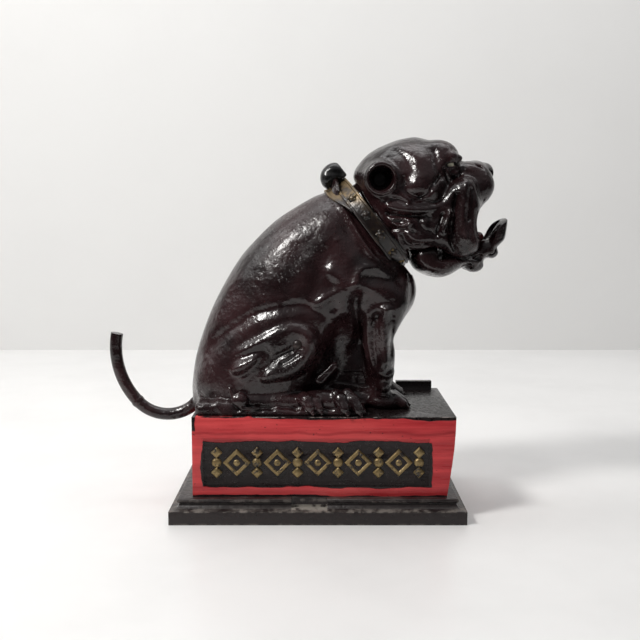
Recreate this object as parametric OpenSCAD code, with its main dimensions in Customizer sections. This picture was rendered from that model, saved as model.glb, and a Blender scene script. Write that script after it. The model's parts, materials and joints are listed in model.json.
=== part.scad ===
// Mechanical bank: a cast-iron bulldog seated on a box pedestal.
// Pulling the tail down tips the head back and opens the jaw, so that a coin on the nose is swallowed.
// Millimetres, +X the way the dog faces, +Z up, origin at the centre of the base plate's underside.

/* [Base plate] */
// Length of the base plate
plate_length = 146; // [142:1:152]
// Width of the base plate
plate_width = 92; // [90:1:98]
// Height of the base plate with its moulding
plate_height = 12; // [12:0.5:13]
// Height of the plain edge below the moulding
plate_edge = 6.7; // [6.2:0.1:7]

/* [Pedestal] */
// Width of the box across the dog
box_width = 76; // [75:1:78]
// Height of the ground that the dog sits on
ground_z = 52; // [52:0.5:52.5]
// Wall of the box
box_wall = 3.5; // [3:0.5:4]
// Depth of the side panels
panel_depth = 1; // [0.6:0.1:1.2]

/* [Castings] */
// Wall of the dog's body
body_wall = 3.5; // [3:0.5:3.5]
// Wall of the head
head_wall = 3; // [2.5:0.5:3.5]

/* [Tail] */
// Radius of the tail bar
tail_r = 3.2; // [2.8:0.1:3.3]
// Radius of the tail's pivot pin
tail_pin_r = 2; // [1.8:0.1:2.2]

/* [Hidden] */
$fn = 48;
eps = 0.01;
// Radial clearance of a pin that something turns on, and of a screw or rivet in its hole
run_gap = 0.05;
fit_gap = 0.03;

// Base plate and chamber floor
recess_z = 3;
floor_top = 6.5;
rim_inside = 8;
rest_bar = 12;
box_bottom = plate_height;
box_rear = -62;
box_front = 64;
box_front_top = 68;
box_top_wall = ground_z - box_wall;
ground_hole_x = [-51, 20];
ground_hole_w = 32;

// Tail lever: pivot, arm to the link, spring hole
tail_pivot = [-54, 0, 58];
tail_arm = 20;
arm_y = [1.5, 4.5];
spring_x = tail_pivot.x + 10;
spring_y = (arm_y[0] + arm_y[1]) / 2;
tail_slot_w = 9;
tail_hub_r = 4.6;
tail_lever_y = [-4.1, 7.8];
tail_lugs_y = [-8.5, 11.8];
tail_lug_r = 4;

// Collar: a ring round a neck axis that rises forward
neck_tilt = 37.3;
neck_centre = [27.2, 0, 145.5];
collar_half = 4;
collar_bore = 23;
collar_out = 27;
spigot_r = 25;
neck_pin_r = 1.5;
neck_pin_t = 19;
neck_pin_s = 1;
neck_lug_half = 5;
neck_lug_r = 2.9;

// Point in the neck's own directions: s along its axis, t towards the nape
function neck_point(s, t) = neck_centre
    + s * [cos(neck_tilt), 0, sin(neck_tilt)]
    + t * [-sin(neck_tilt), 0, cos(neck_tilt)];
neck_pivot = neck_point(neck_pin_s, neck_pin_t);

// Link between tail lever and head
link_y = [4.8, 7.8];
link_r = 1.3;
link_eye_r = 4;
link_pin_r = 1.5;
link_low = tail_pivot + [tail_arm, 0, 0];
link_high = [30, 0, 150];
head_arm_y = [8.1, 11.1];

// Jaw
jaw_pivot = [50, 0, 139];
jaw_pin_r = 1.5;
jaw_arm_y = [10.4, 13.6];
jaw_boss_y = 14;

// Coin trap
trap_pivot = [46, 0, 0];
trap_centre = [26, 0, 0];
trap_hole_r = 12;
trap_r = 14.5;
trap_z = [1.4, 2.9];
trap_rivet_r = 1.2;

// Screws and the thigh rivet
base_screw_x = [-55, 54];
base_screw_y = 30.5;
screw_r = 1.4;
body_screw_at = [[38, 17, 60], [-4, 29.5, 60]];
rivet_at = [-10, 0, 87];
rivet_r = 1.2;

// ---- Rounded castings from ellipsoids -------------------------------------------------------
// A lump is [centre, radii, tilt]; tilt turns its long X axis up towards +Z.

// Vector turned back by an angle in the XZ plane
function unturn(v, a) = [v.x * cos(a) + v.z * sin(a), v.y, v.z * cos(a) - v.x * sin(a)];

// Vector divided by radii, term by term
function shrink(v, r) = [v.x / r.x, v.y / r.y, v.z / r.z];

// How far a ray from o along d goes before it leaves a lump, or 0
function leave(lump, o, d) = let(
    p = shrink(unturn(o - lump[0], lump[2]), lump[1]),
    q = shrink(unturn(d, lump[2]), lump[1]),
    b = p * q,
    disc = b * b - (q * q) * (p * p - 1)
) disc <= 0 ? 0 : max(0, (-b + sqrt(disc)) / (q * q));

// Outermost surface of all the lumps along a ray
function reach(lumps, o, d) = max([for (lump = lumps) leave(lump, o, d)]);

// Lumps with every radius smaller by a wall
function thinner(lumps, wall) = [for (l = lumps) [l[0], l[1] - [wall, wall, wall], l[2]]];

// Two triangles for each square between neighbouring rings of n points
function ring_faces(rings, n) = [
    for (i = [0 : rings - 2], j = [0 : n - 1], half = [0, 1])
        let(a = i * n + j, b = i * n + (j + 1) % n, c = a + n, d = b + n)
        half == 0 ? [a, c, b] : [b, c, d]
];

// Triangles that close a ring of n points, starting at index first, with a point at its middle
function fan(first, n, apex, last) = [
    for (j = [0 : n - 1])
        let(a = first + j, b = first + (j + 1) % n)
        last ? [apex, b, a] : [apex, a, b]
];

// Closed solid from rings of n points with a fan at each end
module ring_stack(points, rings, n, first_apex, last_apex) {
    count = rings * n;
    faces = concat(
        ring_faces(rings, n),
        fan(0, n, count, false),
        fan(count - n, n, count + 1, true)
    );
    polyhedron(concat(points, [first_apex, last_apex]), faces, convexity = 8);
}

// Stack of level rings round an upright line, all the way round
module level_shell(lumps, z_from, z_to, rings, n, line) {
    points = [
        for (i = [0 : rings - 1], j = [0 : n - 1])
            let(z = z_from + (z_to - z_from) * i / (rings - 1), a = 360 * j / n)
            let(o = [line(z), 0, z], d = [cos(a), sin(a), 0])
            o + max(1, reach(lumps, o, d)) * d
    ];
    ring_stack(points, rings, n, [line(z_from), 0, z_from], [line(z_to), 0, z_to]);
}

// The half of such a stack at -Y; the last point of each ring is its middle, so the flat side closes it
module half_shell(lumps, z_from, z_to, rings, n, line) {
    points = [
        for (i = [0 : rings - 1], j = [0 : n])
            let(z = z_from + (z_to - z_from) * i / (rings - 1), a = -180 + 180 * j / (n - 1))
            let(o = [line(z), 0, z], d = [cos(a), sin(a), 0])
            let(r = j == n ? 0 : max(1, reach(lumps, o, d)))
            [o.x + r * d.x, (j == 0 || j >= n - 1) ? 0 : r * d.y, z]
    ];
    faces = concat(
        ring_faces(rings, n + 1),
        [for (j = [0 : n - 2]) [n, j, j + 1]],
        [for (j = [0 : n - 2]) let(top = (rings - 1) * (n + 1)) [top + n, top + j + 1, top + j]]
    );
    polyhedron(points, faces, convexity = 8);
}

// Stack of upright rings along X, round a line in the mid-plane
module length_shell(lumps, x_from, x_to, rings, n, line) {
    points = [
        for (i = [0 : rings - 1], j = [0 : n - 1])
            let(x = x_from + (x_to - x_from) * i / (rings - 1), a = 360 * j / n)
            let(o = [x, 0, line(x)], d = [0, cos(a), sin(a)])
            o + max(1, reach(lumps, o, d)) * d
    ];
    ring_stack(points, rings, n, [x_from, 0, line(x_from)], [x_to, 0, line(x_to)]);
}

// ---- Plain helpers --------------------------------------------------------------------------

// Cylinder along Y between two Y values, at a point's X and Z
module across(p, r, y_from, y_to) {
    translate([p.x, y_to, p.z]) rotate([90, 0, 0]) cylinder(r = r, h = y_to - y_from);
}

// Flat bar in the XZ plane between two points, between two Y values
module flat_bar(p, q, width, y_from, y_to) {
    span = q - p;
    length = norm([span.x, span.z]);
    translate([p.x, y_from, p.z]) rotate([0, -atan2(span.z, span.x), 0])
        translate([0, 0, -width / 2]) cube([length, y_to - y_from, width]);
}

// Children moved to the neck: local Z along the neck axis, local X towards the throat
module at_neck() {
    translate(neck_centre) rotate([0, 90 - neck_tilt, 0]) children();
}

// Child and its mirror image on the other side of the dog
module both_sides() {
    children();
    mirror([0, 1, 0]) children();
}

// ---- Base plate -----------------------------------------------------------------------------

// Half outline of the moulded edge, from the given half width, with a cove and a bead
function moulding(half) = let(
    step = 1.4, cove = 3.4, bead = 1.1,
    cove_x = half - step, bead_x = cove_x - cove,
    bead_z = plate_height - bead
) concat(
    [[0, 0], [half, 0], [half, plate_edge], [cove_x, plate_edge]],
    [for (a = [270 : -15 : 180]) [cove_x + cove * cos(a) , plate_edge + cove + cove * sin(a)]],
    [for (a = [-60 : 30 : 90]) [bead_x + bead * cos(a), bead_z + bead * sin(a)]],
    [[0, plate_height]]
);

module moulded_block() {
    intersection() {
        rotate([90, 0, 0]) linear_extrude(plate_width + 2, center = true)
            both_halves() polygon(moulding(plate_length / 2));
        rotate([90, 0, 90]) linear_extrude(plate_length + 2, center = true)
            both_halves() polygon(moulding(plate_width / 2));
    }
}

module both_halves() {
    children();
    mirror([1, 0]) children();
}

module screw_hole(at, z_from, z_to) {
    translate([at.x, at.y, z_from - eps]) cylinder(r = screw_r + fit_gap, h = z_to - z_from + 2 * eps);
}

module base_plate() {
    chamber_l = [box_rear + box_wall, box_front - box_wall];
    chamber_w = box_width - 2 * box_wall;
    under_l = plate_length - 2 * rim_inside;
    under_w = plate_width - 2 * rim_inside;
    color("#1c1817") difference() {
        moulded_block();
        translate([chamber_l[0], -chamber_w / 2, floor_top])
            cube([chamber_l[1] - chamber_l[0], chamber_w, plate_height]);
        // Recess under the floor, on both sides of the bar that the origin lies on
        for (side = [-1, 1])
            translate([side > 0 ? rest_bar / 2 : -under_l / 2, -under_w / 2, -eps])
                cube([(under_l - rest_bar) / 2, under_w, recess_z + eps]);
        translate(trap_centre) cylinder(r = trap_hole_r, h = floor_top + 1);
        translate(trap_pivot) cylinder(r = trap_rivet_r + run_gap, h = floor_top + 1);
        for (x = base_screw_x, side = [-1, 1])
            translate([x, side * base_screw_y, recess_z - eps]) {
                cylinder(r = screw_r + fit_gap, h = plate_height);
                cylinder(r1 = 3.1, r2 = screw_r, h = 3.1 - screw_r);
            }
        // Seat worn into the near side's moulding
        translate([-13, -plate_width / 2 - 1, plate_edge + 0.7])
            cube([17.5, (plate_width - box_width) / 2 - 0.5, plate_height]);
    }
    color("#1c1817") spring_post();
}

// Post on the chamber floor with a cross hole for the spring
module spring_post() {
    post_z = 16;
    difference() {
        translate([spring_x - 2, spring_y - 1.5, floor_top]) cube([4, 3, post_z - floor_top]);
        across([spring_x, 0, post_z - 2.2], 1, spring_y - 3, spring_y + 3);
    }
}

// ---- Pedestal -------------------------------------------------------------------------------

// Side outline of the box: the front leans out in a shallow curve. in is an inset.
function box_outline(inset, z_low, z_high) = concat(
    [[box_rear + inset, z_low], [box_rear + inset, z_high]],
    [for (k = [1 : -0.2 : -0.01]) [
        box_front + (box_front_top - box_front) * sin(90 * max(0, k)) - inset,
        z_low + (z_high - z_low) * max(0, k)
    ]]
);

module box_solid(inset, width, z_low, z_high) {
    rotate([90, 0, 0]) linear_extrude(width, center = true)
        polygon(box_outline(inset, z_low, z_high));
}

// Raised lozenges and dots that fill a side panel
module panel_ornament(depth) {
    count = 5;
    pitch = 20;
    mid_z = 29;
    for (k = [0 : count - 1])
        translate([(k - (count - 1) / 2) * pitch, 0, mid_z]) rotate([90, 0, 0]) {
            rotate(45) translate([-4, -4, 0]) cube([8, 8, depth]);
            if (k < count - 1) translate([pitch / 2, 0, 0]) cylinder(r = 2, h = depth);
        }
}

module pedestal() {
    panel_x = [-56.5, 55];
    panel_z = [17, 41];
    slot_low = 41;
    color("#8f1f1c") {
        difference() {
            box_solid(0, box_width, box_bottom, ground_z);
            box_solid(box_wall, box_width - 2 * box_wall, box_bottom - 1, box_top_wall);
            translate([ground_hole_x[0], -ground_hole_w / 2, box_top_wall - 1])
                cube([ground_hole_x[1] - ground_hole_x[0], ground_hole_w, box_wall + 2]);
            both_sides() translate([panel_x[0], -box_width / 2 - 1, panel_z[0]])
                cube([panel_x[1] - panel_x[0], panel_depth + 1, panel_z[1] - panel_z[0]]);
            // Slot for the tail in the rear wall and the ground behind the hole
            translate([box_rear - 1, -tail_slot_w / 2, slot_low])
                cube([ground_hole_x[0] - box_rear + 2, tail_slot_w, ground_z]);
            for (at = body_screw_at, side = [-1, 1])
                screw_hole([at.x, side * at.y], box_top_wall, ground_z);
        }
        // The ornament starts a little inside the wall, so that it is one casting
        both_sides() translate([0, -box_width / 2 + panel_depth + 0.5, 0]) panel_ornament(panel_depth + 0.5);
        for (x = base_screw_x, side = [-1, 1]) corner_post(x, side * base_screw_y);
        tail_lug(tail_lugs_y[0], -tail_slot_w / 2);
        tail_lug(tail_lever_y[1] + 0.3, tail_lugs_y[1]);
        // Ledge at the front corner of the far side
        translate([44, box_width / 2 - 6, ground_z - 1]) cube([20, 4, 6]);
    }
}

module corner_post(x, y) {
    difference() {
        translate([x, y, box_bottom]) cylinder(r = 5, h = box_top_wall - box_bottom + 0.5);
        screw_hole([x, y], box_bottom, 26);
    }
}

// Lug on the ground that carries one end of the tail's pivot pin
module tail_lug(y_from, y_to) {
    difference() {
        union() {
            across(tail_pivot, tail_lug_r, y_from, y_to);
            translate([tail_pivot.x - tail_lug_r + 0.3, y_from, ground_z - 1])
                cube([2 * tail_lug_r - 0.6, y_to - y_from, tail_pivot.z - ground_z + 1]);
        }
        across(tail_pivot, tail_pin_r + fit_gap, y_from - 1, y_to + 1);
    }
}

// ---- Body -----------------------------------------------------------------------------------

body_lumps = [
    [[-14, 0, 100], [72, 29, 37], 58],
    [[-38, 0, 68], [28.3, 29, 30], 0],
    [[22, 0, 118], [29, 26, 34], 0],
    [[14, 0, 137], [40, 28, 28], neck_tilt],
    [[-6, 0, 68], [36, 22, 34], 0],
    [[-40, -14, 60], [22, 16, 20], 0],
    [[24, -17, 118], [15, 11, 24], 10],
    [[30, -17, 88], [9.5, 9.5, 38], 8.5],
    [[38, -17, 57], [11, 8.5, 8], 0],
    [[-24, -22, 83], [26, 10, 21], -10],
    [[-5, -29.5, 57.5], [29, 8.5, 8], 0]
];
hollow_lumps = concat(
    thinner([for (k = [0 : 3]) body_lumps[k]], body_wall),
    [[[-8, 0, 68], [30, 17, 32], 0]]
);
body_top = 166;

// The upright line that the body's rings go round leans forward with height
function body_line(z) = -8 + 22 * (z - ground_z) / (body_top - ground_z);

// One half of the body, the one at -Y
module body_half() {
    hub_room = tail_hub_r + 0.4;
    difference() {
        half_shell(body_lumps, ground_z - 2, body_top, 38, 27, function(z) body_line(z));
        level_shell(hollow_lumps, ground_z - 3.3, body_top + 1, 15, 26, function(z) body_line(z));
        // Flat sole on the ground
        translate([-90, -60, ground_z - 10]) cube([160, 80, 10]);
        // The neck ends square to its axis, with a turned-down spigot for the collar
        at_neck() translate([0, 0, -0.5]) cylinder(r = 60, h = 60);
        at_neck() translate([0, 0, -6]) cylinder(r = collar_bore, h = 20);
        // Notch in the spigot for the ears inside the collar
        at_neck() translate([-26, -9, -2.5]) cube([10, 18, 5]);
        at_neck() translate([0, 0, -collar_half - run_gap]) difference() {
            cylinder(r = 60, h = 30);
            translate([0, 0, -1]) cylinder(r = spigot_r, h = 40);
        }
        // Tail slot at the foot of the rump
        translate([-80, -tail_slot_w / 2, ground_z - 1]) cube([32, tail_slot_w, 8.6]);
        // Room for the tail's hub and the lugs that carry its pivot pin
        translate([tail_pivot.x - hub_room, -tail_lugs_y[1] - 0.4, ground_z - 1])
            cube([14, 2 * tail_lugs_y[1] + 0.8, tail_pivot.z + hub_room - ground_z + 1]);
        across(rivet_at, rivet_r + fit_gap, -60, 60);
        for (at = body_screw_at)
            screw_hole([at.x, -at.y], ground_z - 1, at.z + 1);
    }
}

module body_right() {
    color("#2a1b1c") body_half();
}

module body_left() {
    color("#2a1b1c") mirror([0, 1, 0]) body_half();
}

// Rivet through both thighs: a shank with a domed head at each end
module thigh_rivet() {
    half = 30.9;
    color("#33292a") {
        across(rivet_at, rivet_r, -half - 1, half + 1);
        both_sides() translate([rivet_at.x, -half, rivet_at.z]) rotate([90, 0, 0])
            rotate_extrude() intersection() {
                translate([0, -1]) circle(r = 3);
                square([4, 3]);
            }
    }
}

// ---- Collar ---------------------------------------------------------------------------------

// Half section of the collar, as radius and distance along the neck axis
collar_section = [
    [collar_bore, -0.45], [spigot_r + run_gap, -0.45], [spigot_r + run_gap, -collar_half],
    [28.2, -collar_half], [28.5, -3.6], [28.5, -3], [28.2, -2.6], [collar_out, -2.6],
    [collar_out, 2.6], [27.6, 3], [27.6, 3.6], [27.3, collar_half], [collar_bore, collar_half]
];

module collar() {
    ear_y = [neck_lug_half + 0.4, neck_lug_half + 3.4];
    color("#4b3a22") {
        difference() {
            union() {
                at_neck() rotate_extrude() polygon(collar_section);
                // Two ears inside the top carry the neck pin
                both_sides() {
                    across(neck_pivot, neck_lug_r, ear_y[0], ear_y[1]);
                    flat_bar(neck_pivot, neck_point(neck_pin_s, collar_bore + 2), 5, ear_y[0] + 0.1, ear_y[1] - 0.1);
                }
            }
            across(neck_pivot, neck_pin_r + fit_gap, -12, 12);
            // Hole for the knot's peg
            at_neck() rotate([0, -90, 0]) cylinder(r = 1.3 + fit_gap, h = 40);
        }
        collar_studs();
    }
}

// Domed studs round the collar's band, left out at the top where the knot sits
module collar_studs() {
    count = 14;
    at_neck() for (k = [2 : count - 2])
        rotate([0, 0, 180 + 360 * k / count]) translate([collar_out - 0.6, 0, 0])
            sphere(r = 2, $fn = 24);
}

module collar_knot() {
    color("#151212") {
        difference() {
            hull() {
                for (side = [-1, 1]) {
                    translate([4.8, side * 4, 168.6]) sphere(r = 2.8, $fn = 20);
                    translate([7, side * 3.5, 174]) sphere(r = 3.4, $fn = 20);
                    translate([10.2, side * 2.5, 175.5]) sphere(r = 2.8, $fn = 20);
                    translate([12.2, side * 4, 170.2]) sphere(r = 2.6, $fn = 20);
                }
            }
            at_neck() translate([0, 0, -9]) cylinder(r = 28.6, h = 20);
        }
        at_neck() rotate([0, -90, 0]) translate([0, 0, 24.5]) cylinder(r = 1.3, h = 5);
    }
}

// ---- Head -----------------------------------------------------------------------------------

head_lumps = [
    [[45, 0, 163], [27, 25, 27], 0],
    [[58, 0, 170], [14, 20, 18], 0],
    [[53, -15, 150], [21, 11, 19], 0],
    [[53, 15, 150], [21, 11, 19], 0],
    [[77, 0, 168], [13.5, 13, 10], 0],
    [[71, -16, 147], [9, 7.5, 19], 0],
    [[71, 16, 147], [9, 7.5, 19], 0]
];
head_hollow = thinner([for (k = [0 : 3]) head_lumps[k]], head_wall);
ear_at = [30.3, 0, 168];
eye_at = [66.5, 14.2, 175.4];
eye_r = 3.2;

function head_line(x) = 163 + 5 * (x - 18) / 72;

module head() {
    mouth = [
        [40, 120], [105, 120], [105, 157], [84, 157], [76, 156], [62, 158], [48, 158], [40, 150]
    ];
    color("#2a1b1c") difference() {
        union() {
            difference() {
                union() {
                    length_shell(head_lumps, 18.3, 90.2, 36, 44, function(x) head_line(x));
                    both_sides() across(ear_at, 8.4, 15, 26.5);
                }
                length_shell(head_hollow, 12, 66, 16, 22, function(x) head_line(x));
                rotate([90, 0, 0]) linear_extrude(31, center = true) polygon(mouth);
                // The back of the head is cut off square to the neck, in front of the collar
                at_neck() translate([-80, -60, -60]) cube([160, 120, 60 + collar_half + 1]);
                // A wider gap under the throat, which opens as the head tips
                translate(neck_point(collar_half + 1, 8)) rotate([0, 90 - neck_tilt - 8, 0])
                    translate([0, -60, -60]) cube([80, 120, 60]);
                both_sides() across(ear_at, 6.8, 19.5, 27);
            }
            // Lug in the nape that turns on the neck pin
            intersection() {
                union() {
                    across(neck_pivot, neck_lug_r, -neck_lug_half, neck_lug_half);
                    flat_bar(neck_pivot, neck_point(14, neck_pin_t), 5, 0.3 - neck_lug_half, neck_lug_half - 0.3);
                }
                translate([0, -20, 100]) cube([29, 40, 90]);
            }
            // Arm that the link pushes, hanging from the roof of the skull
            across(link_high, link_eye_r, head_arm_y[0], head_arm_y[1]);
            flat_bar(link_high, [34, 0, 182], 6, head_arm_y[0], head_arm_y[1]);
            // Bosses in the cheeks for the jaw pin
            both_sides() across(jaw_pivot, 4, jaw_boss_y, 23);
        }
        across(neck_pivot, neck_pin_r + run_gap, -20, 20);
        across(link_high, link_pin_r + fit_gap, 8, 15);
        across(jaw_pivot, jaw_pin_r + fit_gap, -17.5, 17.5);
        both_sides() translate(eye_at) sphere(r = eye_r + fit_gap);
    }
}

module eye(side) {
    color("#e8e2c8") translate([eye_at.x, side * eye_at.y, eye_at.z]) sphere(r = eye_r);
}

module right_eye() {
    eye(-1);
}

module left_eye() {
    eye(1);
}

// ---- Lower jaw ------------------------------------------------------------------------------

module lower_jaw() {
    color("#2a1b1c") difference() {
        union() {
            hull() both_sides() {
                translate([57, 8, 127]) sphere(r = 7, $fn = 24);
                translate([84, 8, 131]) sphere(r = 6, $fn = 24);
            }
            hull() both_sides() {
                translate([84, 7, 133]) sphere(r = 6, $fn = 24);
                translate([94, 4, 145]) sphere(r = 3.6, $fn = 24);
                translate([91, 6, 136]) sphere(r = 4, $fn = 24);
            }
            both_sides() {
                across(jaw_pivot, 4, jaw_arm_y[0], jaw_arm_y[1]);
                flat_bar(jaw_pivot, [58, 0, 129], 7, jaw_arm_y[0], jaw_arm_y[1]);
            }
        }
        // Tongue channel that the coin slides back along
        translate([0, 0, 137]) rotate([0, 86, 0]) translate([0, 0, 40]) cylinder(r = 8, h = 46);
        across(jaw_pivot, jaw_pin_r + run_gap, -20, 20);
    }
}

// ---- Tail lever and link --------------------------------------------------------------------

// Round bar bent to a part of a circle in the XZ plane, between two angles from +X
module bent_bar(centre, bend_r, from, to, bar_r) {
    translate(centre) rotate([90, 0, 0]) rotate([0, 0, from])
        rotate_extrude(angle = to - from) translate([bend_r, 0]) circle(r = bar_r);
}

module tail_lever() {
    low_centre = [-79.8, 0, 66.7];
    low_r = 21.4;
    join_a = 222.5;
    enter_a = 314;
    high_r = 42;
    high_centre = low_centre + (high_r - low_r) * [-cos(join_a), 0, -sin(join_a)];
    enter = low_centre + low_r * [cos(enter_a), 0, sin(enter_a)];
    color("#2a1b1c") difference() {
        union() {
            bent_bar(high_centre, high_r, 169, join_a, tail_r);
            bent_bar(low_centre, low_r, join_a, enter_a, tail_r);
            for (a = [join_a, enter_a])
                translate(low_centre + low_r * [cos(a), 0, sin(a)]) sphere(r = tail_r + 0.3);
            translate(enter) rotate([0, 90 - atan2(tail_pivot.z - enter.z, tail_pivot.x - enter.x), 0])
                cylinder(r = tail_r, h = norm(tail_pivot - enter) - 1);
            across(tail_pivot, tail_hub_r, tail_lever_y[0], tail_lever_y[1]);
            flat_bar(tail_pivot, link_low, 7, arm_y[0], arm_y[1]);
            across(link_low, link_eye_r, arm_y[0], arm_y[1]);
        }
        across(tail_pivot, tail_pin_r + run_gap, -20, 20);
        across(link_low, link_pin_r + fit_gap, 0, 20);
        across([spring_x, 0, tail_pivot.z], 1.1, 0, 20);
    }
}

module tail_pin() {
    color("#5b5652") across(tail_pivot, tail_pin_r, tail_lugs_y[0], tail_lugs_y[1]);
}

module neck_pin() {
    half = neck_lug_half + 3.4;
    color("#5b5652") across(neck_pivot, neck_pin_r, -half, half);
}

module jaw_pin() {
    color("#5b5652") across(jaw_pivot, jaw_pin_r, -17.4, 17.4);
}

// Straight rod with an eye at each end; the upper eye is the loose one
module link_rod() {
    span = link_high - link_low;
    mid_y = (link_y[0] + link_y[1]) / 2;
    color("#5b5652") difference() {
        union() {
            across(link_low, link_eye_r, link_y[0], link_y[1]);
            across(link_high, link_eye_r + 0.6, link_y[0], link_y[1]);
            translate(link_low + [0, mid_y, 0]) rotate([0, 90 - atan2(span.z, span.x), 0])
                cylinder(r = link_r, h = norm(span));
        }
        across(link_low, link_pin_r + run_gap, 0, 20);
        across(link_high, link_pin_r + 1.2, 0, 20);
    }
}

// Pin with a flat head, from its head's outer face at y_from to y_to
module headed_pin(at, head_r, y_from, y_to) {
    head_t = 1.2;
    inner = y_from + (y_to > y_from ? head_t : -head_t);
    color("#6a645e") {
        across(at, link_pin_r, min(inner, y_to), max(inner, y_to));
        across(at, head_r, min(y_from, inner), max(y_from, inner));
    }
}

module link_lower_pin() {
    headed_pin(link_low, link_pin_r + 1.2, link_y[1] + 1.5, arm_y[0]);
}

module link_upper_pin() {
    headed_pin(link_high, link_pin_r + 2, link_y[0] - 1.5, head_arm_y[1]);
}

// ---- Return spring --------------------------------------------------------------------------

spring_top = 50.5;
spring_bottom = 19.5;
spring_turns = 11;
coil_r = 2.6;
wire_r = 0.5;

// Hook loop in the YZ plane round a hole, then the coil, then the other hook
spring_path = let(
    top = tail_pivot.z, low = 13.8, steps = 12, loop = 3.3,
    top_mid = top - loop + 0.3, low_mid = low + loop - 0.3
) concat(
    [for (a = [240 : -30 : -90]) [spring_x, spring_y + loop * cos(a), top_mid + loop * sin(a)]],
    [for (k = [0 : spring_turns * steps]) let(a = 360 * k / steps)
        [spring_x + coil_r * sin(a), spring_y - coil_r * cos(a),
            spring_top - (spring_top - spring_bottom) * k / (spring_turns * steps)]],
    [for (a = [90 : -30 : -240]) [spring_x, spring_y + loop * cos(a), low_mid + loop * sin(a)]]
);

function unit(v) = v / norm(v);

// Direction of a path at one of its points
function along(path, i) = unit(path[min(i + 1, len(path) - 1)] - path[max(i - 1, 0)]);

// Round wire along a path; the first cross direction is carried along without twist
module wire(path, r, sides) {
    count = len(path);
    first = unit(cross(along(path, 0), [1, 0.2, 0.1]));
    cross_dirs = [
        for (i = 0, u = first; i < count; i = i + 1,
            u = i < count ? unit(u - (u * along(path, i)) * along(path, i)) : u) u
    ];
    points = [
        for (i = [0 : count - 1], j = [0 : sides - 1])
            let(a = 360 * j / sides, u = cross_dirs[i], v = cross(along(path, i), u))
            path[i] + r * (cos(a) * u + sin(a) * v)
    ];
    ring_stack(points, count, sides, path[0], path[count - 1]);
}

module return_spring() {
    color("#8a8680") wire(spring_path, wire_r, 6);
}

// ---- Screws ---------------------------------------------------------------------------------

module base_screws() {
    color("#5b5652") for (x = base_screw_x, side = [-1, 1])
        translate([x, side * base_screw_y, recess_z]) difference() {
            union() {
                cylinder(r = screw_r, h = 21);
                cylinder(r1 = 3, r2 = screw_r, h = 3 - screw_r);
            }
            translate([-4, -0.4, -eps]) cube([8, 0.8, 0.8]);
        }
}

module body_screws() {
    color("#5b5652") for (at = body_screw_at, side = [-1, 1])
        translate([at.x, side * at.y, box_top_wall - 2]) difference() {
            union() {
                translate([0, 0, 1]) cylinder(r = screw_r, h = at.z - box_top_wall + 1);
                cylinder(r = 3, h = 2);
            }
            translate([-4, -0.4, -eps]) cube([8, 0.8, 0.8]);
        }
}

// ---- Coin trap ------------------------------------------------------------------------------

module coin_trap() {
    color("#4a4642") translate([0, 0, trap_z[0]]) difference() {
        union() {
            translate(trap_centre) cylinder(r = trap_r, h = trap_z[1] - trap_z[0]);
            translate(trap_pivot) cylinder(r = 5, h = trap_z[1] - trap_z[0]);
            translate([trap_centre.x, -5, 0])
                cube([trap_pivot.x - trap_centre.x, 10, trap_z[1] - trap_z[0]]);
        }
        translate(trap_pivot - [0, 0, 1]) cylinder(r = trap_rivet_r + run_gap, h = 5);
        translate(trap_centre - [9, 0, 1]) cylinder(r = 1.5, h = 5);
    }
}

module trap_rivet() {
    color("#6a645e") translate([trap_pivot.x, trap_pivot.y, 0]) {
        translate([0, 0, 0.3]) cylinder(r = 3.4, h = 1);
        translate([0, 0, 0.8]) cylinder(r = trap_rivet_r, h = floor_top);
        translate([0, 0, floor_top + 0.05]) cylinder(r1 = 3, r2 = 2, h = 1.2);
    }
}

base_plate();
pedestal();
body_right();
body_left();
collar();
collar_knot();
head();
right_eye();
left_eye();
lower_jaw();
tail_lever();
tail_pin();
neck_pin();
jaw_pin();
link_rod();
link_lower_pin();
link_upper_pin();
return_spring();
thigh_rivet();
body_screws();
base_screws();
coin_trap();
trap_rivet();
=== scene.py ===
"""Looks of a cast-iron bulldog bank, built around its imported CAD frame.

The dog's castings are modelled like clay. A distance field in millimetres is put together from side
outlines with a width (pillows), round lumps and the ridges and grooves of a relief drawn in side view.
It is then turned into a mesh. The dog is symmetric, so most of it is worked out for one half only.
"""

import json
from concurrent.futures import ThreadPoolExecutor

import bpy
import numpy as np
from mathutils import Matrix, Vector

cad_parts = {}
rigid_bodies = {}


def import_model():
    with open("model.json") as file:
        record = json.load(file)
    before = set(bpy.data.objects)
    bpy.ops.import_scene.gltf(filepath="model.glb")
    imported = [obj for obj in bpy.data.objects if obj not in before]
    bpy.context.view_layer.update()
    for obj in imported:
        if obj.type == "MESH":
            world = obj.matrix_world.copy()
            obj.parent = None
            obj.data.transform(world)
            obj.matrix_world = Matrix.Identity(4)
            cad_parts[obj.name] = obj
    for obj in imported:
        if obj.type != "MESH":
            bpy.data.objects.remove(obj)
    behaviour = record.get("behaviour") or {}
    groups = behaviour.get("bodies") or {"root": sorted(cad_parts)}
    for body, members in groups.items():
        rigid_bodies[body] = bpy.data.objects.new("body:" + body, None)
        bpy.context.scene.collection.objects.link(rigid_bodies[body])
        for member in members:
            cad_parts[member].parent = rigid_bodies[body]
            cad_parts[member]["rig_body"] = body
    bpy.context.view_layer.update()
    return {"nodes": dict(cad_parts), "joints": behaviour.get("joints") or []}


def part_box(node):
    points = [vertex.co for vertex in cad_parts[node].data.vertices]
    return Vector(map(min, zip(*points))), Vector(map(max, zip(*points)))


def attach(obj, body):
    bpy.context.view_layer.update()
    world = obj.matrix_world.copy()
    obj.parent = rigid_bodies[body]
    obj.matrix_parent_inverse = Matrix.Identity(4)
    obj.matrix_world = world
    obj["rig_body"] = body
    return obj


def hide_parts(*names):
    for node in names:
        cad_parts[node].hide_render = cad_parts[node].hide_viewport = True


MM = 0.001
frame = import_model()
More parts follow.
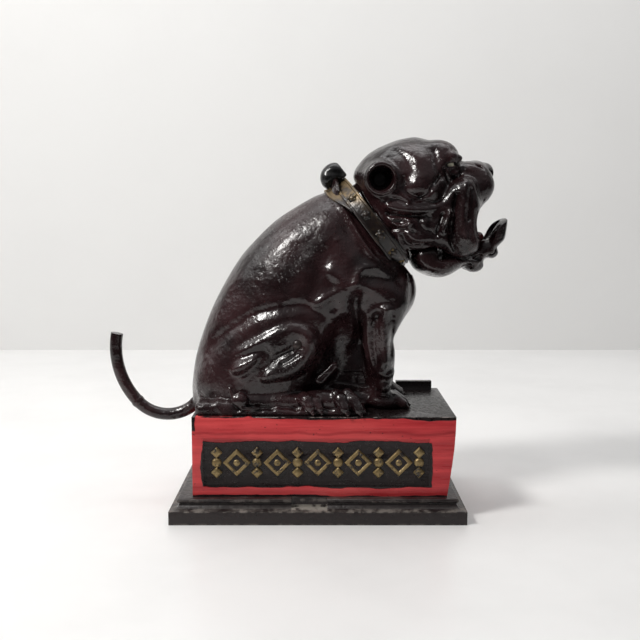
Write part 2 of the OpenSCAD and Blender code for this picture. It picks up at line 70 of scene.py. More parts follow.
joint_at = {joint["name"]: np.array(joint["pos_m"]) / MM for joint in frame["joints"]}


def box_mm(node):
    """Lowest and highest corner of a CAD node, in millimetres."""
    low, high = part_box(node)
    return np.array(low) / MM, np.array(high) / MM


# ---- Sizes taken from the frame ------------------------------------------------------------------

tail_pivot = joint_at["tail_pull"]
neck_pivot = joint_at["head_tilt"]
jaw_pivot = joint_at["jaw_open"]
link_pivot = sum(box_mm("link_upper_pin")) / 2 * [1, 0, 1]
eye_low, eye_high = box_mm("left_eye")
eye_at = (eye_low + eye_high) / 2
eye_radius = (eye_high[0] - eye_low[0]) / 2
ground = box_mm("body_right")[0][2]
plate_front = box_mm("base_plate")[1][0]
plate_edge = 6.7
face_y = -box_mm("pedestal")[0][1]

# The neck's axis and the collar round it
NECK_TILT = np.radians(37.3)
NECK_CENTRE = np.array([27.2, 0.0, 145.5])
NECK_AXIS = np.array([np.cos(NECK_TILT), 0.0, np.sin(NECK_TILT)])
NAPE = np.array([-np.sin(NECK_TILT), 0.0, np.cos(NECK_TILT)])
COLLAR_HALF = 4.0
COLLAR_RADIUS = 27.0
PIN_BORE = 1.75

# Size of a grid step of the clay
BODY_STEP = 0.62
HEAD_STEP = 0.48


# ---- Clay ----------------------------------------------------------------------------------------


def smooth_min(a, b, soft):
    """Smaller of two distances, rounded over a width where they meet."""
    mix = np.clip(0.5 + 0.5 * (b - a) / soft, 0, 1)
    return b + (a - b) * mix - soft * mix * (1 - mix)


def smooth_max(a, b, soft):
    return -smooth_min(-a, -b, soft)


def ease(value, low, high):
    """0 at low, 1 at high and smooth between."""
    t = np.clip((value - low) / (high - low), 0, 1)
    return t * t * (3 - 2 * t)


def ellipsoid(p, centre, radii, tilt=0.0):
    """Distance to an ellipsoid. tilt turns its long axis up towards +Z, in degrees."""
    q = p - np.array(centre, np.float32)
    a = np.radians(tilt)
    x, z = q[:, 0] * np.cos(a) + q[:, 2] * np.sin(a), q[:, 2] * np.cos(a) - q[:, 0] * np.sin(a)
    local = np.stack([x, q[:, 1], z])
    r = np.array(radii, np.float32)[:, None]
    near = np.sqrt(((local / r) ** 2).sum(0))
    steep = np.sqrt(((local / r**2) ** 2).sum(0))
    return near * (near - 1) / np.maximum(steep, 1e-4)


def with_lumps(d, q, lumps):
    """A distance with ellipsoids joined on: centre, radii, tilt and how softly each one joins."""
    for centre, radii, tilt, soft in lumps:
        d = smooth_min(d, ellipsoid(q, centre, radii, tilt), soft)
    return d


def capsule(p, start, end, radius_start, radius_end=None):
    """Distance to a round bar between two points, whose radius may change along it."""
    a, b = np.array(start, np.float32), np.array(end, np.float32)
    along = np.clip(((p - a) @ (b - a)) / np.dot(b - a, b - a), 0, 1)
    radius_end = radius_start if radius_end is None else radius_end
    from_axis = np.linalg.norm(p - a - along[:, None] * (b - a), axis=1)
    return from_axis - radius_start - along * (radius_end - radius_start)


def block(p, low, high, rounding=0.0):
    """Distance to an upright box with rounded edges."""
    low, high = np.array(low, np.float32), np.array(high, np.float32)
    q = np.abs(p - (low + high) / 2) - (high - low) / 2 + rounding
    return np.linalg.norm(np.maximum(q, 0), axis=1) + np.minimum(q.max(1), 0) - rounding


def cross_cylinder(p, centre, radius, y_from, y_to):
    """Distance to a cylinder along Y."""
    r = np.hypot(p[:, 0] - centre[0], p[:, 2] - centre[2]) - radius
    return np.maximum(r, np.maximum(y_from - p[:, 1], p[:, 1] - y_to))


def smooth_line(points, closed=False, per_span=6):
    """Points of a smooth line through the given points."""
    p = np.array(points, float)
    if closed:
        ends = np.vstack([p[-1:], p, p[:2]])
    else:
        ends = np.vstack([2 * p[:1] - p[1:2], p, 2 * p[-1:] - p[-2:-1]])
    t = (np.arange(per_span) / per_span)[:, None]
    line = []
    for a, b, c, d in zip(ends, ends[1:], ends[2:], ends[3:]):
        bend = (2 * a - 5 * b + 4 * c - d) * t**2 + (3 * b - a - 3 * c + d) * t**3
        line.append(b + 0.5 * ((c - a) * t + bend))
    line = np.vstack(line)
    return line if closed else np.vstack([line, p[-1:]])


class SideView:
    """A grid over the side view, X and Z, on which outlines and relief are worked out once for all points."""

    def __init__(self, low, high, step=0.5):
        self.low, self.step = np.array(low, float), step
        self.x = np.arange(low[0], high[0] + step, step)
        self.z = np.arange(low[1], high[1] + step, step)
        self.grid = np.stack(np.meshgrid(self.x, self.z, indexing="ij"), -1)

    def line_distance(self, line):
        """Distance from a line of points to each place on the grid."""
        best = np.full(self.grid.shape[:2], 1e9)
        for a, b in zip(line[:-1], line[1:]):
            span = b - a
            q = self.grid - a
            along = np.clip((q @ span) / max(span @ span, 1e-9), 0, 1)
            best = np.minimum(best, ((q - along[..., None] * span) ** 2).sum(-1))
        return np.sqrt(best)

    def depth(self, points, smooth=True):
        """How far inside a closed outline each place is, negative outside it."""
        line = smooth_line(points, closed=True) if smooth else np.array(points, float)
        line = np.vstack([line, line[:1]])
        x, z = self.grid[..., 0], self.grid[..., 1]
        inside = np.zeros(x.shape, bool)
        for a, b in zip(line[:-1], line[1:]):
            if a[1] == b[1]:
                continue
            crosses = (a[1] > z) != (b[1] > z)
            inside ^= crosses & (x < a[0] + (z - a[1]) * (b[0] - a[0]) / (b[1] - a[1]))
        far = self.line_distance(line)
        return np.where(inside, far, -far)

    def softened(self, depth, from_depth=4.0, passes=24):
        """The same depth without the creases along the outline's middle."""
        blurred = depth.copy()
        for _ in range(passes):
            for axis in (0, 1):
                blurred = (np.roll(blurred, 1, axis) + 2 * blurred + np.roll(blurred, -1, axis)) / 4
        return depth + (blurred - depth) * ease(depth, from_depth, 2.5 * from_depth)

    def sample(self, values, p):
        """Values of a map of this grid at 3-D points."""
        at = (p[:, [0, 2]] - self.low) / self.step
        at = np.clip(at, 0, np.array(values.shape) - 1.001)
        i = at.astype(int)
        f = (at - i).astype(np.float32)
        flat = values.ravel()
        corner = i[:, 0] * values.shape[1] + i[:, 1]
        near = flat[corner] * (1 - f[:, 1]) + flat[corner + 1] * f[:, 1]
        corner += values.shape[1]
        return near * (1 - f[:, 0]) + (flat[corner] * (1 - f[:, 1]) + flat[corner + 1] * f[:, 1]) * f[:, 0]


class Relief:
    """Height added to a surface in side view: ridges, grooves, bumps and hollows."""

    def __init__(self, view):
        self.view = view
        self.height = np.zeros(view.grid.shape[:2])

    def add(self, far, width, height):
        """Height that falls off with the distance from a line or a point."""
        self.height += height * np.exp(-((far / width) ** 2))

    def ridge(self, points, width, height):
        self.add(self.view.line_distance(smooth_line(points)), width, height)

    def groove(self, points, width, depth):
        self.ridge(points, width, -depth)

    def bump(self, at, width, height):
        far = np.hypot(self.view.grid[..., 0] - at[0], self.view.grid[..., 1] - at[1])
        self.add(far, width, height)

    def ring(self, at, half, tilt, width, height):
        """Ridge along an oval, whose long axis is tilted in degrees."""
        a = np.linspace(0, 2 * np.pi, 25)
        t = np.radians(tilt)
        u, v = half[0] * np.cos(a), half[1] * np.sin(a)
        oval = np.stack([at[0] + u * np.cos(t) - v * np.sin(t), at[1] + u * np.sin(t) + v * np.cos(t)], 1)
        self.add(self.view.line_distance(oval), width, height)


def pillow(view, p, y, depth, rounding, middle, half_width):
    """Distance to an outline that swells from its edge to a half width on either side of a middle plane."""
    t = view.sample(depth, p) / rounding
    across = (y - middle) / half_width
    scale = np.minimum(rounding, half_width)
    return (np.sqrt(np.maximum(1 - t, 0) ** 2 + across**2) - 1) * scale


def evaluate(field, points):
    """A field at many points, in parallel pieces."""
    pieces = np.array_split(points.astype(np.float32), max(1, len(points) // 30000))
    with ThreadPoolExecutor(4) as pool:
        return np.concatenate(list(pool.map(field, pieces)))


def sample_grid(field, low, high, step):
    """Field values on a regular grid, worked out in full only near the surface."""
    block_size = 4
    low = np.array(low, float)
    cells = np.ceil((np.array(high) - low) / (step * block_size)).astype(int)
    axes = [low[i] + step * block_size * np.arange(cells[i] + 1) for i in range(3)]
    nodes = np.stack(np.meshgrid(*axes, indexing="ij"), -1)
    coarse = evaluate(field, nodes.reshape(-1, 3)).reshape(cells + 1)
    near = np.full(cells, np.inf)
    for i in (0, 1):
        for j in (0, 1):
            for k in (0, 1):
                corner = coarse[i : i + cells[0], j : j + cells[1], k : k + cells[2]]
                near = np.minimum(near, np.abs(corner))
    active = near < 1.4 * step * block_size
    fine = coarse[:-1, :-1, :-1]
    wanted = active
    for axis in range(3):
        fine = np.repeat(fine, block_size, axis)
        wanted = np.repeat(wanted, block_size, axis)
    for axis in range(3):
        wanted = wanted | np.roll(wanted, 1, axis)
    at = np.argwhere(wanted)
    fine = fine.astype(np.float32)
    fine[wanted] = evaluate(field, low + step * at)
    return fine


def polygonise(field, low, high, step):
    """Closed mesh of a field's zero surface: vertices in millimetres and quads."""
    values = sample_grid(field, low, high, step)
    shape = np.array(values.shape)
    weights = np.array([shape[1] * shape[2], shape[2], 1])
    quads, crossings = [], []
    for axis in range(3):
        u, v = (axis + 1) % 3, (axis + 2) % 3
        first = np.take(values, range(shape[axis] - 1), axis)
        second = np.take(values, range(1, shape[axis]), axis)
        at = np.argwhere((first < 0) != (second < 0))
        at = at[(at[:, u] > 0) & (at[:, v] > 0)]
        a, b = first[tuple(at.T)], second[tuple(at.T)]
        point = at.astype(float)
        point[:, axis] += a / (a - b)
        ring = []
        for du, dv in ((0, 0), (-1, 0), (-1, -1), (0, -1)):
            cell = at.copy()
            cell[:, u] += du
            cell[:, v] += dv
            ring.append(cell @ weights)
        ring = np.stack(ring, 1)
        ring[a > 0] = ring[a > 0][:, ::-1]
        quads.append(ring)
        crossings.append(point)
    quads, crossings = np.vstack(quads), np.vstack(crossings)
    _, index = np.unique(quads.ravel(), return_inverse=True)
    count = np.bincount(index)
    repeated = np.repeat(crossings, 4, axis=0)
    vertices = np.stack([np.bincount(index, repeated[:, i]) / count for i in range(3)], 1)
    vertices = np.array(low) + step * vertices
    return settle(field, vertices, step), index.reshape(-1, 4)


def settle(field, vertices, step):
    """Vertices moved onto the surface, each by at most half a step."""
    h = 0.3 * step
    slope = np.stack([(evaluate(field, vertices + h * e) - evaluate(field, vertices - h * e)) / (2 * h)
                      for e in np.eye(3)], 1)
    steep = np.maximum((slope**2).sum(1), 0.3)
    move = -evaluate(field, vertices)[:, None] * slope / steep[:, None]
    length = np.linalg.norm(move, axis=1)
    return vertices + move * np.minimum(1, 0.5 * step / np.maximum(length, 1e-6))[:, None]


# ---- Meshes --------------------------------------------------------------------------------------


def piece(name, vertices, faces, body, smooth=True):
    """New mesh piece from millimetres, riding on a CAD body."""
    mesh = bpy.data.meshes.new(name)
    vertices = np.asarray(vertices, float) * MM
    if isinstance(faces, np.ndarray):
        sides = faces.shape[1]
        mesh.vertices.add(len(vertices))
        mesh.vertices.foreach_set("co", vertices.ravel())
        mesh.loops.add(faces.size)
        mesh.loops.foreach_set("vertex_index", faces.ravel().astype(np.int32))
        mesh.polygons.add(len(faces))
        mesh.polygons.foreach_set("loop_start", np.arange(0, faces.size, sides, dtype=np.int32))
        mesh.update(calc_edges=True)
    else:
        mesh.from_pydata(vertices.tolist(), [], faces)
    mesh.validate()
    mesh.polygons.foreach_set("use_smooth", np.full(len(mesh.polygons), smooth))
    mesh.update()
    obj = bpy.data.objects.new(name, mesh)
    bpy.context.scene.collection.objects.link(obj)
    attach(obj, body)
    return obj


def add_attribute(obj, name, values):
    attribute = obj.data.attributes.new(name, "FLOAT", "POINT")
    attribute.data.foreach_set("value", np.asarray(values, np.float32))


def sharpness(vertices, quads):
    """How far each vertex stands out from its neighbours, in steps: above 0 on ridges, below 0 in grooves."""
    pairs = np.vstack([quads[:, [0, 1]], quads[:, [1, 2]], quads[:, [2, 3]], quads[:, [3, 0]]])
    count = np.bincount(pairs.ravel(), minlength=len(vertices))
    normal = np.zeros_like(vertices)
    corners = vertices[quads]
    face_normal = np.cross(corners[:, 2] - corners[:, 0], corners[:, 3] - corners[:, 1])
    for corner in range(4):
        for i in range(3):
            normal[:, i] += np.bincount(quads[:, corner], face_normal[:, i], len(vertices))
    normal /= np.maximum(np.linalg.norm(normal, axis=1), 1e-9)[:, None]

    def average(values):
        total = np.bincount(pairs[:, 0], values[pairs[:, 1]], len(vertices))
        total += np.bincount(pairs[:, 1], values[pairs[:, 0]], len(vertices))
        return total / np.maximum(count, 1)

    mean = np.stack([average(vertices[:, i]) for i in range(3)], 1)
    stand = ((vertices - mean) * normal).sum(1)
    for _ in range(3):
        stand = 0.5 * stand + 0.5 * average(stand)
    return stand


def clay_piece(name, field, low, high, step, body, replaced):
    """Piece made from a field inside a box. Its attribute ridge says where it stands out."""
    vertices, quads = polygonise(field, low, high, step)
    obj = piece(name, vertices, quads, body)
    add_attribute(obj, "ridge", sharpness(vertices, quads) / step)
    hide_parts(*replaced)
    return obj


# ---- Body ----------------------------------------------------------------------------------------

body_view = SideView((-80, 36), (64, 182))

TORSO = [
    (12, 168.5), (4.7, 162.6), (-2.5, 159.6), (-12.8, 153.7), (-22.4, 147.2), (-32, 138.1),
    (-40.1, 128.9), (-48.2, 116.1), (-55.2, 102.5), (-60.6, 88.7), (-64.2, 76.4), (-66, 64.9),
    (-66.3, 58), (-65, 48), (-55, 38), (0, 38), (4, 52), (9, 64), (15, 76), (24, 88), (34, 96),
    (43, 97.5), (47.6, 102), (50.2, 108.5), (50.5, 114.5), (48.6, 120.4), (45.6, 124.4), (47, 128),
]
WEB = [(-6, 46), (33, 46), (33.5, 62), (31, 82), (33, 98), (20, 104), (6, 92), (0, 76)]
HAUNCH = [
    (-62, 62), (-58, 76), (-50, 85.5), (-38.4, 93), (-28.4, 98.6), (-20, 101.4), (-12, 102.4),
    (-4, 101), (1.6, 97), (4, 90), (1.5, 81), (-4, 71), (-20, 58), (-45, 52),
]
THIGH = [
    (-47, 76), (-43, 85), (-33, 93), (-22, 99.4), (-14, 101.6), (-6, 100.4), (0.4, 96.4), (3.4, 90),
    (2, 82.5), (-1.6, 76), (-7, 70.4), (-15, 66.6), (-26, 64.4), (-36, 63), (-44, 66),
]
FORELEG = [
    (20.5, 108), (21.3, 99.6), (22.1, 89.5), (24.7, 76.7), (27.6, 67), (29.5, 58), (36.5, 57),
    (38, 64), (38.9, 72), (39.3, 80.5), (38.6, 87.5), (41, 93.5), (44, 99.4), (46, 108), (38, 118),
    (26, 118),
]

torso_depth = body_view.softened(body_view.depth(TORSO))
haunch_depth = body_view.softened(body_view.depth(HAUNCH), 2)
thigh_depth = body_view.softened(body_view.depth(THIGH), 2)
web_depth = body_view.softened(body_view.depth(WEB), 2)
foreleg_depth = body_view.softened(body_view.depth(FORELEG), 1.5, 8)


def torso_relief():
    r = Relief(body_view)
    # Folds of the neck behind the collar
    r.ridge([(8, 164), (13, 157.5), (17, 148.5), (21, 141), (25, 134), (30, 127.5)], 2.4, 1.7)
    r.groove([(10.5, 160.5), (15.5, 152), (19.5, 145.5), (24, 138), (29, 131)], 1.1, 1.0)
    r.groove([(4, 160), (10, 152), (14, 144), (18, 136), (22, 130)], 3.2, 1.0)
    # Shoulder: a forked ridge, an arch round a hollow and the fold down to the elbow
    r.ridge([(6.5, 122.8), (10.5, 119.5), (15.1, 116.3), (25, 115.3), (31.6, 109.5), (38, 107.8)], 3.2, 1.3)
    r.ridge([(14.6, 111.5), (12.5, 109), (13.2, 103)], 3.4, 1.3)
    r.ridge([(11, 113.5), (6, 111.1), (-0.5, 106.5)], 2.4, 1.3)
    r.ridge([(18.6, 117), (19.8, 121.5), (23, 124.4), (29, 124.2), (35, 121)], 2.2, 1.3)
    r.bump((26.7, 119.8), 3.8, -1.2)
    r.bump((7.5, 105.0), 3.2, -1.2)
    r.bump((20, 109.5), 3, -1.4)
    r.groove([(18.5, 109), (18.8, 102.4), (20.5, 94), (21.5, 81.3)], 2.6, 2.2)
    r.groove([(46.5, 120), (47.5, 112), (45, 105.5), (41, 101)], 1.2, 0.9)
    r.ridge([(43, 119), (43.6, 112), (40.5, 106)], 1.8, 0.9)
    # Ribs, faint behind the elbow, and the crease above the haunch
    r.groove([(4, 132), (1, 122), (-3, 113)], 3.5, 0.8)
    r.groove([(-8, 134), (-12, 122), (-18, 112)], 4.5, 0.7)
    above_haunch = [
        (-54, 80), (-49, 89), (-39, 96.6), (-29, 102.4), (-12, 106), (-2, 104.4), (5, 98.6), (6.5, 90),
    ]
    r.groove(above_haunch, 3.0, 1.5)
    r.bump((2, 137), 1.6, 0.5)
    r.bump((9, 138), 1.0, 0.4)
    r.bump((-1, 134), 0.8, 0.4)
    return r.height


def thigh_relief():
    """Muscles of the thigh, with the hollows between them, and the swelling of the knee."""
    r = Relief(body_view)
    r.groove([(-48, 70), (-46, 74.5), (-40, 79.4), (-33, 82.6), (-27, 84.5)], 2.6, 1.0)
    r.groove([(-46, 69.5), (-40, 70.6), (-34, 73), (-29.5, 77.6), (-25.5, 82)], 2.2, 1.0)
    r.ridge([(-42.5, 74.2), (-37, 76.8), (-32, 79.6)], 2.0, 0.5)
    r.groove([(-33, 69), (-26, 76), (-19.5, 81.2), (-13.5, 84)], 2.2, 1.1)
    r.groove([(-18, 77.4), (-13.5, 79.8), (-9.5, 82.5)], 1.0, 0.7)
    r.groove([(-44, 66), (-37, 66.8), (-31, 69.5)], 2.2, 1.0)
    r.ridge([(-24, 69.5), (-12, 73.4), (-4.6, 82), (-4, 91)], 4.2, 0.5)
    r.bump((-10, 87), 3.8, -1.1)
    return r.height


def foreleg_relief():
    """Bones and tendons of the foreleg, the elbow and the wrist."""
    r = Relief(body_view)
    r.ridge([(34, 104), (32.6, 94.5), (34, 83.6), (32.2, 73)], 2.4, 1.6)
    r.bump((25.6, 98), 2.6, 0.8)
    r.bump((37, 96), 2.4, 0.7)
    r.bump((35, 77), 2.6, 0.8)
    r.ridge([(24.5, 101.4), (29.3, 104.4), (35, 103.6), (40, 104.6)], 2.2, 0.6)
    r.bump((29, 99.6), 2.6, -1.3)
    r.groove([(37.6, 99), (37, 90), (36.6, 80)], 1.3, 0.9)
    r.groove([(27.5, 96), (27.8, 86), (29.5, 76)], 1.6, 1.0)
    r.ridge([(30, 71.5), (34, 70), (38, 71)], 1.6, 0.9)
    r.bump((33.5, 64), 3, 0.7)
    r.groove([(30.5, 61.5), (35, 61), (38.5, 62.5)], 1.0, 0.8)
    return r.height


torso_height, thigh_height, foreleg_height = torso_relief(), thigh_relief(), foreleg_relief()


def torso_distance(p, y):
    """The trunk alone, without legs or relief."""
    z = p[:, 2]
    half_width = 25.6 + 5.2 * ease(z, 135, 92) + 1.2 * np.exp(-(((z - 124) / 12) ** 2))
    rounding = 25.0 + 12 * ease(z, 138, 96)
    return pillow(body_view, p, y, torso_depth, rounding, 0.0, half_width)


def flank_hollow(q):
    """Deep hollow between the thigh and the foreleg, where the belly falls away to the middle."""
    return ellipsoid(q, (12, 31, 81), (10.5, 18, 20), -6)


def body_outside(p, y):
    """The whole dog's body in the right half, with y positive away from the middle."""
    q = np.stack([p[:, 0], y, p[:, 2]], 1)
    x, z = p[:, 0], p[:, 2]
    side = ease(y, 7, 15)
    d = torso_distance(p, y)
    d = smooth_min(d, ellipsoid(q, (20, 11, 124), (19, 16, 21), 15), 7)
    d = smooth_min(d, ellipsoid(q, (36, 9, 111), (12.5, 12, 13)), 6)
    d = d - body_view.sample(torso_height, p) * side
    d = smooth_min(d, pillow(body_view, p, y, web_depth, 6.0, 0.0, 11.0 - 3.5 * ease(z, 70, 92)), 3.0)
    haunch = pillow(body_view, p, y, haunch_depth, 12.0, 12.0, 14.6)
    d = smooth_min(d, haunch, 4.5)
    d = smooth_max(d, -flank_hollow(q), 3.5)
    thigh = pillow(body_view, p, y, thigh_depth, 8.0, 16.0, 17.6 - 0.03 * np.abs(x + 12))
    thigh = thigh - body_view.sample(thigh_height, p) * ease(y, 16, 22)
    d = smooth_min(d, thigh, 0.9)
    foreleg = pillow(body_view, p, y, foreleg_depth, 6.5, 15.5, 8.8 + 2.0 * ease(z, 84, 114))
    foreleg = foreleg - body_view.sample(foreleg_height, p) * ease(y, 14, 20)
    d = smooth_min(d, foreleg, 4.0)
    # Uneven ground under the seat and the hind foot
    q[:, 2] += 0.45 * np.sin(0.42 * x) + 0.25 * np.sin(1.07 * x + 1.3)
    d = smooth_min(d, block(q, (-61, -1, ground - 4), (-40, 34.2, ground + 6.4), 3.0), 2.0)
    d = smooth_min(d, block(q, (-48, -1, ground - 4), (24, 34.6, ground + 2.8), 1.8), 2.0)
    q[:, 2] = z
    # Hind foot: its bone and heel, the cord that runs round the heel, and the paw
    d = smooth_min(d, capsule(q, (-38, 28.0, 57.5), (-8, 27, 57.5), 3.4, 4.2), 2.0)
    d = smooth_min(d, ellipsoid(q, (-38.3, 32, 59.2), (3.9, 3.4, 4.2), 30), 0.9)
    d = smooth_min(d, capsule(q, (-43.6, 31.5, 65), (-41.4, 33.4, 59), 0.9, 1.0), 1.4)
    d = smooth_min(d, capsule(q, (-41.4, 33.4, 59), (-37, 34.2, 55.4), 1.0, 0.9), 1.0)
    d = smooth_min(d, capsule(q, (-37, 34.2, 55.4), (-29, 34, 55.4), 0.9, 0.6), 1.0)
    d = smooth_min(d, hind_paw(q), 1.2)
    # Fold of skin in front of the thigh, and the fore paw
    fold = capsule(q, (1, 26.8, 68.5), (8.0, 26, 75.6), 2.6, 1.8)
    d = smooth_min(d, smooth_max(fold, -capsule(q, (1.6, 29.9, 69.2), (8, 28.6, 75.4), 1.0), 0.8), 1.8)
    d = smooth_min(d, capsule(q, (6, 12, 58), (27, 13, 56), 5, 4), 3.0)
    return smooth_min(d, fore_paw(q), 1.6)


def toe(q, root, tip, radius):
    """Short toe with a knuckle and a blunt claw."""
    root, tip = np.array(root, float), np.array(tip, float)
    way = (tip - root) / np.linalg.norm(tip - root)
    knuckle = root + 0.5 * (tip - root) + [0, 0, 1.0]
    d = smooth_min(capsule(q, root, knuckle, radius), capsule(q, knuckle, tip, radius, radius * 0.8), 0.8)
    claw = tip + way * radius
    return smooth_min(d, capsule(q, tip, claw - [0, 0, 0.9], radius * 0.4, radius * 0.25), 0.8)


def hind_paw(q):
    d = ellipsoid(q, (6, 29.0, 58.5), (16, 5.6, 5.4), -4)
    toes = [
        ((-7, 31.5, 60), (-4, 36, 56.6), 3.5),
        ((-2, 31.5, 59.5), (0.8, 35.6, 56), 2.6),
        ((9, 31, 61.5), (13.2, 37, 56.2), 3.3),
        ((14.5, 30.5, 62), (20, 36.6, 55.4), 3.0),
    ]
    for root, tip, radius in toes:
        d = smooth_min(d, toe(q, root, tip, radius), 0.9)
    return d


def fore_paw(q):
    d = ellipsoid(q, (34.5, 14.5, 55.6), (9, 8, 4.8), -4)
    for y in (9.0, 14.0, 19.0):
        root, tip = (35.5, 14.5 + 0.6 * (y - 14.5), 57.2), (44.5 - 0.2 * abs(y - 13), y, 54.8)
        d = smooth_min(d, toe(q, root, tip, 3.0), 0.6)
    return d


# A tube goes on through the collar and fills the gap behind the head. Sizes along NAPE and Y.
CORE_MIDDLE, CORE_TALL, CORE_WIDE = -7.8, 19.0, 19.2
CORE_TOP = 4.0
CORE_WALL = 3.0
CORE_START = -8.0


def neck_place(p):
    """How far along the neck, how far towards the nape and how far from the neck's axis each point is."""
    q = p - NECK_CENTRE.astype(np.float32)
    s, t = q @ NECK_AXIS.astype(np.float32), q @ NAPE.astype(np.float32)
    return s, t, np.hypot(t, p[:, 1])


def core_distance(p, grow=0.0):
    """Distance from the neck tube's outside, seen along the neck, when it is made bigger all round."""
    _, t, _ = neck_place(p)
    tall, wide = CORE_TALL + grow, CORE_WIDE + grow
    return (np.hypot((t - CORE_MIDDLE) / tall, p[:, 1] / wide) - 1) * min(tall, wide)


def core_end(t):
    """How far the neck tube reaches along the neck: less at the throat, where the jaw is close."""
    return np.minimum(11.0, 9.0 + 0.32 * (t + 16))


def core_room(p, gap):
    """Room that the head and the jaw leave round the neck tube."""
    s, t, _ = neck_place(p)
    return np.maximum(core_distance(p, gap), np.maximum(s - core_end(t) - gap, t - CORE_TOP - gap))


def body_half(p):
    """The casting at -Y: hollow, cut flat in the middle, on the ground, at the collar and round the tail."""
    wall, half_seam = 5.0, 0.06
    y = -p[:, 1]
    q = np.stack([p[:, 0], y, p[:, 2]], 1)
    room = smooth_max(torso_distance(p, y) + wall, wall - flank_hollow(q), 2.0)
    d = smooth_max(body_outside(p, y), -room, 0.8)
    # Nothing but the tube passes through the collar
    s, t, radius = neck_place(p)
    d = np.maximum(d, -np.maximum(-(s + COLLAR_HALF + 0.1), radius - COLLAR_RADIUS - 1.9))
    d = np.maximum(d, -np.maximum(1 - s, radius - COLLAR_RADIUS - 7))
    tube = np.abs(core_distance(p) + CORE_WALL / 2) - CORE_WALL / 2
    tube = np.maximum(np.maximum(tube, t - CORE_TOP), np.maximum(CORE_START - s, s - core_end(t)))
    d = np.minimum(d, tube)
    d = np.maximum(np.maximum(d, half_seam - y), ground - p[:, 2])
    # Slot for the tail, and room for its hub
    d = np.maximum(d, -block(q, (-90, -9, ground - 9), (-46, 4.7, ground + 7.8)))
    hub_x, hub_z = tail_pivot[[0, 2]]
    hub = block(q, (hub_x - 5, -9, ground - 9), (hub_x + 9.6, 12.4, hub_z + 5))
    return np.maximum(d, -hub)


def build_body():
    """The right casting, and the left one as its mirror image."""
    low, high = (-70, -42, ground - 2), (56, 1.5, 172)
    right = clay_piece(
        "body_right_cast", body_half, low, high, BODY_STEP, "bank", ["body_right"])
    mesh = right.data
    vertices = np.zeros(3 * len(mesh.vertices))
    mesh.vertices.foreach_get("co", vertices)
    vertices = vertices.reshape(-1, 3) / MM * [1, -1, 1]
    corners = np.zeros(len(mesh.loops), np.int32)
    mesh.loops.foreach_get("vertex_index", corners)
    ridge = np.zeros(len(mesh.vertices), np.float32)
    mesh.attributes["ridge"].data.foreach_get("value", ridge)
    left = piece("body_left_cast", vertices, corners.reshape(-1, 4)[:, ::-1], "bank")
    add_attribute(left, "ridge", ridge)
    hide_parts("body_left")
    return [right, left]


# ---- Head ----------------------------------------------------------------------------------------

head_view = SideView((8, 108), (104, 196), 0.4)

SKULL = [
    (16, 162), (17.9, 168.1), (18.9, 173.1), (21.6, 177.2), (25.4, 181.2), (30.4, 184.4),
    (37.3, 187.4), (42.5, 189.1), (48.7, 190.2), (53.7, 189.5), (57.5, 188.2), (62.4, 187.9),
    (66.2, 186.5), (69.3, 184), (71.6, 180), (72.4, 176), (73, 168), (72, 157), (69, 146),
    (64, 138), (56, 133), (50, 131), (46.5, 126.5), (40, 121), (30, 132),
]
MUZZLE = [
    (66, 170), (71, 175), (74.8, 176.8), (79, 178.2), (83.2, 178), (86.6, 175.9), (88.6, 172.8),
    (89.2, 168.6), (89.3, 165.2), (88.8, 161.4), (87.4, 158.2), (85.2, 155.6), (83.2, 153.2),
    (79, 150.6), (72, 152), (64, 158),
]
FLEWS = [
    (66, 166.5), (72, 169.3), (77.4, 168.2), (79.6, 162.8), (81, 157.9), (81.2, 154.2),
    (80.2, 150.5), (79.7, 146.8), (80, 143.1), (81, 138.7), (81, 134.8), (79, 131.8), (75, 129.8),
    (71.5, 129.2), (67, 130.4), (62.2, 133), (57, 134.5), (50, 137), (46, 143), (50, 152),
    (58, 158),
]

skull_depth = head_view.softened(head_view.depth(SKULL))
muzzle_depth = head_view.softened(head_view.depth(MUZZLE), 2)
flews_depth = head_view.softened(head_view.depth(FLEWS), 2)
MOUTH = [(40, 116), (105, 116), (105, 152.4), (84, 152.6), (78, 154.5), (62, 157), (48, 157), (40, 150)]
mouth_depth = head_view.depth(MOUTH, smooth=False)
EAR_AT = np.array([31.2, 0.0, 168.3])
EAR_FLOOR = 11.0


